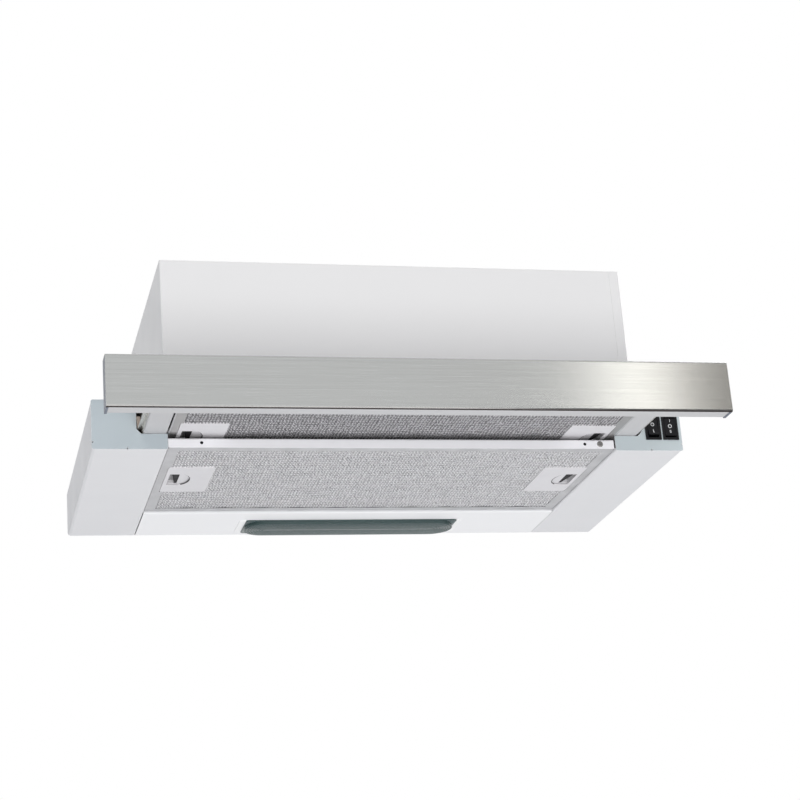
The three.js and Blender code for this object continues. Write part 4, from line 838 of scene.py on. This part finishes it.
# ---------------------------------------------------------------- screws and switch marks

SCREW_SHANK = 5 * MM
SCREW_NECK = 0.46              # of the head's radius
SCREW_HEAD = (                 # shares of the head's radius and height, from its seat
    (SCREW_NECK, 0.0), (1.0, 0.0), (1.0, 0.16), (0.95, 0.46), (0.82, 0.76), (0.62, 0.96),
    (0.52, 1.0))
SLOT_HALF, SLOT_REACH = 0.11, 0.42      # of the cross recess, as shares of the radius
SLOT_TAPER, SLOT_FLOOR = 0.7, 0.3       # its floor's size, and its height in the head
SCREW_SPLIT = 35               # degrees
SCREW_TURNS = (12, 64, 37, 80, 5, 51, 28, 73)   # of the recesses, as fitted by hand
BAR_SCREW_INSET = 16.1 * MM    # from the crossbar's right end
BAR_SCREW_HEIGHT = 0.35 * MM   # clears the closed carriage
LID_SCREW_INSET = 14 * MM
COLLAR_SCREW_INSET = 7 * MM
COLLAR_FLANGE = 2 * MM

MARK_THICK = 0.12 * MM         # over the rocker's face, and as much under it
MARK_STROKE = 0.14             # of a mark's size
MARK_APART = 1.05              # strokes from a pair's middle to each of its bars
SWITCH_MARKS = (
    # name, kind, rocker, share of the face's height and size
    ("light_mark_off", "ring", "light_rocker", 0.63, 3.8 * MM),
    ("light_mark_on", "bar", "light_rocker", 0.22, 4.0 * MM),
    ("fan_mark_low", "bar", "fan_rocker", 0.88, 2.6 * MM),
    ("fan_mark_off", "ring", "fan_rocker", 0.58, 4.0 * MM),
    ("fan_mark_high", "pair", "fan_rocker", 0.26, 3.2 * MM),
)


def screw_shape(radius, height):
    """A pan-head screw along +Z, its seat at 0 and its shank below, with a cross recess."""
    shape = bmesh.new()
    levels = [(SCREW_NECK, -SCREW_SHANK)]
    levels += [(share, rise * height) for share, rise in SCREW_HEAD]
    rings = skin(shape, [[(x, y, z) for x, y in circle(share * radius)] for share, z in levels])
    shape.faces.new(rings[0])
    slim, reach = SLOT_HALF * radius, SLOT_REACH * radius
    cross = []
    for turn in range(4):
        for x, y in ((reach, -slim), (reach, slim), (slim, slim)):
            for _ in range(turn):
                x, y = -y, x
            cross.append((x, y))
    mouth, floor = skin(shape, (
        [(x, y, height) for x, y in cross],
        [(SLOT_TAPER * x, SLOT_TAPER * y, SLOT_FLOOR * height) for x, y in cross]))
    shape.faces.new(floor)
    fill(shape, (rings[-1], mouth))
    return shape


def add_screw(name, place, facing, turn, radius=3.4 * MM, height=2.1 * MM):
    shape = screw_shape(radius, height)
    aim = Vector(facing).to_track_quat("Z", "Y").to_matrix().to_4x4()
    turned = Matrix.Rotation(math.radians(turn), 4, "Z")
    shape.transform(Matrix.Translation(place) @ aim @ turned)
    screw = add_piece(name, shape, "hood_body", "zinc", SCREW_ZINC, smooth=True)
    split_edges(screw, SCREW_SPLIT)


def build_screws():
    low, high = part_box("front_crossbar")
    place = (high.x - BAR_SCREW_INSET, low.y, (low.z + high.z) / 2)
    add_screw("crossbar_screw", place, (0, -1, 0), 35, 3.2 * MM, BAR_SCREW_HEIGHT)
    turns = iter(SCREW_TURNS)
    low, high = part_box("box_lid")
    for side, x in (("left", low.x + LID_SCREW_INSET), ("right", high.x - LID_SCREW_INSET)):
        for end, y in (("front", low.y + LID_SCREW_INSET), ("rear", high.y - LID_SCREW_INSET)):
            add_screw(f"lid_screw_{side}_{end}", (x, y, high.z), (0, 0, 1), next(turns))
    low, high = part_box("outlet_collar")
    centre = (low + high) / 2
    reach = (high.x - low.x) / 2 - COLLAR_SCREW_INSET
    for i in range(4):
        angle = math.radians(45 + 90 * i)
        x, y = centre.x + reach * math.cos(angle), centre.y + reach * math.sin(angle)
        place = (x, y, low.z + COLLAR_FLANGE)
        add_screw(f"collar_screw_{i + 1}", place, (0, 0, 1), next(turns), 3.0 * MM, 1.8 * MM)


def mark_shape(kind, size):
    """A switch mark as flat printing on the XY plane: a ring, a bar or a pair of bars."""
    shape = bmesh.new()
    stroke, apart = MARK_STROKE * size, MARK_APART * MARK_STROKE * size

    def plate(*loops):
        tops, feet = (
            [[shape.verts.new((x, y, z)) for x, y in loop] for loop in loops]
            for z in (MARK_THICK, -MARK_THICK))
        fill(shape, tops)
        fill(shape, feet)
        for top, foot in zip(tops, feet):
            band(shape, top, foot)

    if kind == "ring":
        plate(circle(size / 2), circle(size / 2 - stroke))
    else:
        offsets = (0.0,) if kind == "bar" else (-apart, apart)
        steps = [size * (i / 6 - 0.5) for i in range(7)]
        for offset in offsets:
            right = [(offset + stroke / 2, y) for y in steps]
            plate(right + [(offset - stroke / 2, y) for y in reversed(steps)])
    return shape


def add_mark(name, kind, rocker, height, size):
    """Prints a mark on a rocker's curved face, at so much of the face's height."""
    low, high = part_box(rocker)
    middle, level = (low.x + high.x) / 2, low.z + height * (high.z - low.z)
    shape = mark_shape(kind, size)
    for corner in shape.verts:
        start = Vector((middle + corner.co.x, low.y - 50 * MM, level + corner.co.y))
        met, spot, _, _ = frame["nodes"][rocker].ray_cast(start, Vector((0, 1, 0)))
        if not met:
            raise ValueError(f"{name} lies past the edge of {rocker}")
        corner.co = spot - Vector((0, corner.co.z, 0))
    add_piece(name, shape, rocker, "white_plastic", SWITCH_MARK)


build_screws()
for mark in SWITCH_MARKS:
    add_mark(*mark)

# ---------------------------------------------------------------- small moulded and sheet pieces

NYLON = moulded_plastic("cream_nylon", (0.42, 0.355, 0.31), 0.42, grain=1100.0)
CLIP_WHITE = moulded_plastic("clip_plastic", (0.93, 0.925, 0.92), 0.35, depth=0.00002)
# painted shade: the dark grey of a finger well's roof
WELL_ROOF_SHADE = moulded_plastic("well_roof_painted_shade", (0.30, 0.295, 0.30), 0.5, depth=0.00002)
# painted shadow: the near black of the plate along a latch's pull tab
WEDGE_SHADE_BLACK = moulded_plastic("wedge_painted_shadow", (0.022, 0.020, 0.022), 0.6, grain=700.0, specular=0.2)
# painted shadow: the dark grey of the crescent on each finger recess's bow
CRESCENT_SHADE_GREY = moulded_plastic("crescent_painted_shadow", (0.11, 0.105, 0.11), 0.6, grain=700.0, specular=0.2)
FOAM = moulded_plastic(
    "closed_cell_foam", (0.06, 0.055, 0.06), 0.75, grain=1800.0, depth=0.0001, specular=0.1)

STOP_IN, STOP_OUT = 3.3 * MM, 1.1 * MM          # of a runner stop, from the rail's outer side
STOP_FRONT, STOP_REAR = 1.0 * MM, 3.9 * MM      # behind the arms' front
STOP_FOOT, STOP_HEAD = 4.4 * MM, 3.4 * MM       # from the rail's lower and upper sides
STOP_SLANT = 1.2 * MM                           # of its outer side, at the foot

PLUG_INSET = 32.3 * MM                          # from the crossbar's ends
PLUG_SEAT = 0.35 * MM                           # behind the crossbar's front
PLUG_RADIUS = 1.5 * MM
PLUG_PROFILE = ((0.45, 0.86), (0.8, 0.62), (0.96, 0.25), (1.0, -0.1), (0.96, -1.6))

CLIP_WIDTHS = (7.0 * MM, 5.5 * MM)              # left and right
CLIP_INSET, CLIP_CORNER = 1.0 * MM, 4.0 * MM
CLIP_GAP, CLIP_THICK = 0.25 * MM, 0.9 * MM

BEAD_ROOM = {"rear": 0.85 * MM, "front": 1.2 * MM}   # beside a filter, to the arms or beams
BEAD_LAP, BEAD_END = 0.3 * MM, 3 * MM
BEAD_FOOT, BEAD_TOP = 0.1 * MM, 1.3 * MM

RECESS_EDGE = 4.0 * MM         # from a latch housing's outer side to its recess
RECESS_BOW, RECESS_HALF = 11.0 * MM, 18.0 * MM
# The dark crescent along each recess's bow, a painted shadow:
CRESCENT_TURNS = range(-72, 73, 9)  # degrees round the recess's bow
CRESCENT_GAP, CRESCENT_THICK = 0.05 * MM, 0.9 * MM
CRESCENT_TIP = 0.15                 # of that thickness, at the crescent's ends
CRESCENT_FOOT, CRESCENT_TOP = 0.1 * MM, 1.15 * MM

FINGER_EDGE = 3.15 * MM        # from the housing's outer side to the latch's finger hole
FINGER_HOLE, FINGER_HALF = 11.0 * MM, 17.4 * MM
WELL_LAP, WELL_WALL = 0.2 * MM, 1.0 * MM
ROOF_FOOT, ROOF_TOP = 5.3 * MM, 6.0 * MM        # over the housing's lower side
WALL_FOOT, WALL_TOP = 1.6 * MM, 5.6 * MM
# The dark plate along the pull tab, a painted shadow:
SHADE_WEDGE_FOOT, SHADE_WEDGE_TOP = 1.6 * MM, 2.8 * MM
SHADE_WEDGE_WIDE, SHADE_WEDGE_NARROW, SHADE_WEDGE_LAP = 7.4 * MM, 2.4 * MM, 0.1 * MM
SHADE_WEDGE_FRONT, SHADE_WEDGE_TAPER, SHADE_WEDGE_REAR = -17.0 * MM, -12.0 * MM, 15.5 * MM

GASKET_IN, GASKET_OUT = 1.4 * MM, 0.08 * MM     # from the crossbar's right end
GASKET_FRONT, GASKET_REAR = 0.12 * MM, 0.9 * MM
GASKET_INSET = 0.2 * MM

PLATE_CHAMFER = 0.3 * MM


def block_shape(xs, ys, zs, chamfer):
    """A block with chamfered edges, between pairs of x, y and z in either order."""
    low, high = (Vector([end(pair) for pair in (xs, ys, zs)]) for end in (min, max))
    shape = bmesh.new()
    bmesh.ops.create_cube(shape, size=1.0)
    size, middle = high - low, (low + high) / 2
    for corner in shape.verts:
        corner.co = Vector([corner.co[i] * size[i] + middle[i] for i in range(3)])
    bmesh.ops.bevel(
        shape, geom=list(shape.edges), offset=chamfer, segments=2, profile=0.5, affect="EDGES")
    return shape


def plate_shape(outline, low, high):
    """An outline on the XY plane as a plate from low to high, chamfered along its lower edge."""
    shape = bmesh.new()
    points = [Vector(point) for point in outline]
    centre = sum(points, Vector((0, 0))) / len(points)

    def level(z, inset):
        spots = [point + (centre - point).normalized() * inset for point in points]
        return [(spot.x, spot.y, z) for spot in spots]

    levels = (level(high, 0.0), level(low + PLATE_CHAMFER, 0.0), level(low, PLATE_CHAMFER))
    rings = skin(shape, levels)
    shape.faces.new(rings[0])
    shape.faces.new(rings[-1])
    return shape


def build_runner_stops():
    """The nylon stop in each outer rail's front end, which reaches into the inner rail."""
    arm_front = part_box("left_arm")[0].y
    for side, way in SIDES:
        low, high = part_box(f"runner_inner_{side}")
        tip = max(abs(low.x), abs(high.x))
        near, far = way * (tip - STOP_IN), way * (tip + STOP_OUT)
        foot, head = low.z + STOP_FOOT, high.z - STOP_HEAD
        ys = (arm_front + STOP_FRONT, arm_front + STOP_REAR)
        shape = block_shape((near, far), ys, (foot, head), chamfer=0.5 * MM)
        for corner in shape.verts:
            if way * corner.co.x > way * (near + far) / 2:
                corner.co.x -= way * STOP_SLANT * (head - corner.co.z) / (head - foot)
        add_piece(f"runner_stop_{side}", shape, "hood_body", "white_plastic", NYLON)


def build_crossbar_plugs():
    """Snap-in plugs in the crossbar's two holes."""
    low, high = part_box("front_crossbar")
    middle = (low.z + high.z) / 2
    for side, way in SIDES:
        shape = bmesh.new()
        centre = way * (high.x - PLUG_INSET)
        levels = []
        for share, rise in PLUG_PROFILE:
            y = low.y + PLUG_SEAT - rise * 0.45 * PLUG_RADIUS
            ring = circle(share * PLUG_RADIUS, 20)
            levels.append([(centre + x, y, middle + z) for x, z in ring])
        rings = skin(shape, levels)
        shape.faces.new(rings[0])
        shape.faces.new(rings[-1])
        add_piece(f"crossbar_plug_{side}", shape, "hood_body", "black_plastic", smooth=True)


def build_lens_clips():
    """The two clips, pressed flat on the lamp panel, that hold the lens at its ends."""
    low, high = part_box("lamp_lens")
    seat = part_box("lamp_panel")[0].z
    front, rear = low.y + CLIP_INSET, high.y - CLIP_INSET
    for (side, way), edge, width in zip(SIDES, (low.x, high.x), CLIP_WIDTHS):
        near, far = edge + way * CLIP_GAP, edge + way * width
        outline = [(near, front)]
        for y, start in ((front + CLIP_CORNER, -90), (rear - CLIP_CORNER, 0)):
            x = far - way * CLIP_CORNER
            outline += [(x + way * dx, y + dy) for dx, dy in arc(CLIP_CORNER, start)]
        outline.append((near, rear))
        shape = plate_shape(outline, seat - CLIP_THICK, seat)
        add_piece(f"lens_clip_{side}", shape, "hood_body", "white_plastic", CLIP_WHITE)


def build_filter_beads():
    """The rolled bead along each side of a filter's edge, towards the arms or the beams."""
    for word, body in FILTERS:
        low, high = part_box(f"{word}_filter_frame")
        ys, zs = (low.y + BEAD_END, high.y - BEAD_END), (low.z + BEAD_FOOT, low.z + BEAD_TOP)
        for side, way in SIDES:
            edge = way * high.x
            xs = (edge - way * BEAD_LAP, edge + way * BEAD_ROOM[word])
            shape = block_shape(xs, ys, zs, chamfer=0.25 * MM)
            add_piece(f"{word}_filter_bead_{side}", shape, body, "filter_aluminium")


def build_latch_shade_crescents():
    """A dark crescent on the bowed side of each finger recess, thin at its ends: a painted shadow.
    """
    for word, body in FILTERS:
        for side, way in SIDES:
            low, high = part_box(f"{word}_latch_housing_{side}")
            straight = max(abs(low.x), abs(high.x)) - RECESS_EDGE
            middle = (low.y + high.y) / 2
            outside, inside = [], []
            for turn in map(math.radians, CRESCENT_TURNS):
                thick = CRESCENT_THICK * max(CRESCENT_TIP, math.cos(turn * 90 / 78))
                for row, inset in ((outside, CRESCENT_GAP), (inside, CRESCENT_GAP + thick)):
                    x = way * (straight - RECESS_BOW - (RECESS_BOW - inset) * math.cos(turn))
                    row.append((x, middle + (RECESS_HALF - inset) * math.sin(turn)))
            shape = bmesh.new()
            outline = outside + inside[::-1]
            rings = skin(shape, [
                [(x, y, z) for x, y in outline] for z in (low.z + CRESCENT_FOOT, low.z + CRESCENT_TOP)])
            for ring in rings:
                for i in range(len(outside) - 1):
                    shape.faces.new((ring[i], ring[i + 1], ring[-i - 2], ring[-i - 1]))
            add_piece(f"{word}_latch_shade_crescent_{side}", shape, body, "grey_plastic", CRESCENT_SHADE_GREY)


def build_latch_wells():
    """The moulded well in each latch's finger hole, its roof a dark painted shade, and a dark
    tapered plate along its pull tab, a painted shadow.
    """
    for word, _ in FILTERS:
        for side, way in SIDES:
            low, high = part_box(f"{word}_latch_housing_{side}")
            middle = (low.y + high.y) / 2
            outer = max(abs(low.x), abs(high.x)) - FINGER_EDGE
            inner = outer - FINGER_HOLE
            latch = f"{word}_latch_{side}"
            xs = (way * (inner - WELL_LAP), way * (outer + WELL_LAP))
            for wall, front, rear, foot, top in (
                    ("roof", -FINGER_HALF, FINGER_HALF, ROOF_FOOT, ROOF_TOP),
                    ("rear", FINGER_HALF - WELL_WALL, FINGER_HALF, WALL_FOOT, WALL_TOP),
                    ("front", -FINGER_HALF, WELL_WALL - FINGER_HALF, WALL_FOOT, WALL_TOP)):
                ys, zs = (middle + front, middle + rear), (low.z + foot, low.z + top)
                # Painted shade: the well's roof is dark grey.
                finish = WELL_ROOF_SHADE if wall == "roof" else None
                shape = block_shape(xs, ys, zs, chamfer=0.2 * MM)
                add_piece(f"{latch}_well_{wall}", shape, latch, "white_plastic", finish)
            # Painted shadow: a dark tapered plate along the pull tab, wide at its front and narrow
            # at its rear.
            near, wide, narrow = (
                way * (inner + reach) for reach in (-SHADE_WEDGE_LAP, SHADE_WEDGE_WIDE, SHADE_WEDGE_NARROW))
            front, taper, rear = middle + SHADE_WEDGE_FRONT, middle + SHADE_WEDGE_TAPER, middle + SHADE_WEDGE_REAR
            outline = ((near, front), (wide, front), (wide, taper), (narrow, rear), (near, rear))
            shape = plate_shape(outline, low.z + SHADE_WEDGE_FOOT, low.z + SHADE_WEDGE_TOP)
            add_piece(f"{latch}_shade_wedge", shape, latch, "grey_plastic", WEDGE_SHADE_BLACK)


def build_crossbar_gasket():
    """A strip of dark foam between the crossbar's right end and the arm."""
    low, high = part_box("front_crossbar")
    xs = (high.x - GASKET_IN, high.x + GASKET_OUT)
    ys = (low.y - GASKET_FRONT, low.y + GASKET_REAR)
    zs = (low.z + GASKET_INSET, high.z - GASKET_INSET)
    shape = block_shape(xs, ys, zs, chamfer=0.1 * MM)
    add_piece("crossbar_gasket", shape, "hood_body", "grey_plastic", FOAM)


build_runner_stops()
build_crossbar_plugs()
build_lens_clips()
build_filter_beads()
build_latch_shade_crescents()
build_latch_wells()
build_crossbar_gasket()
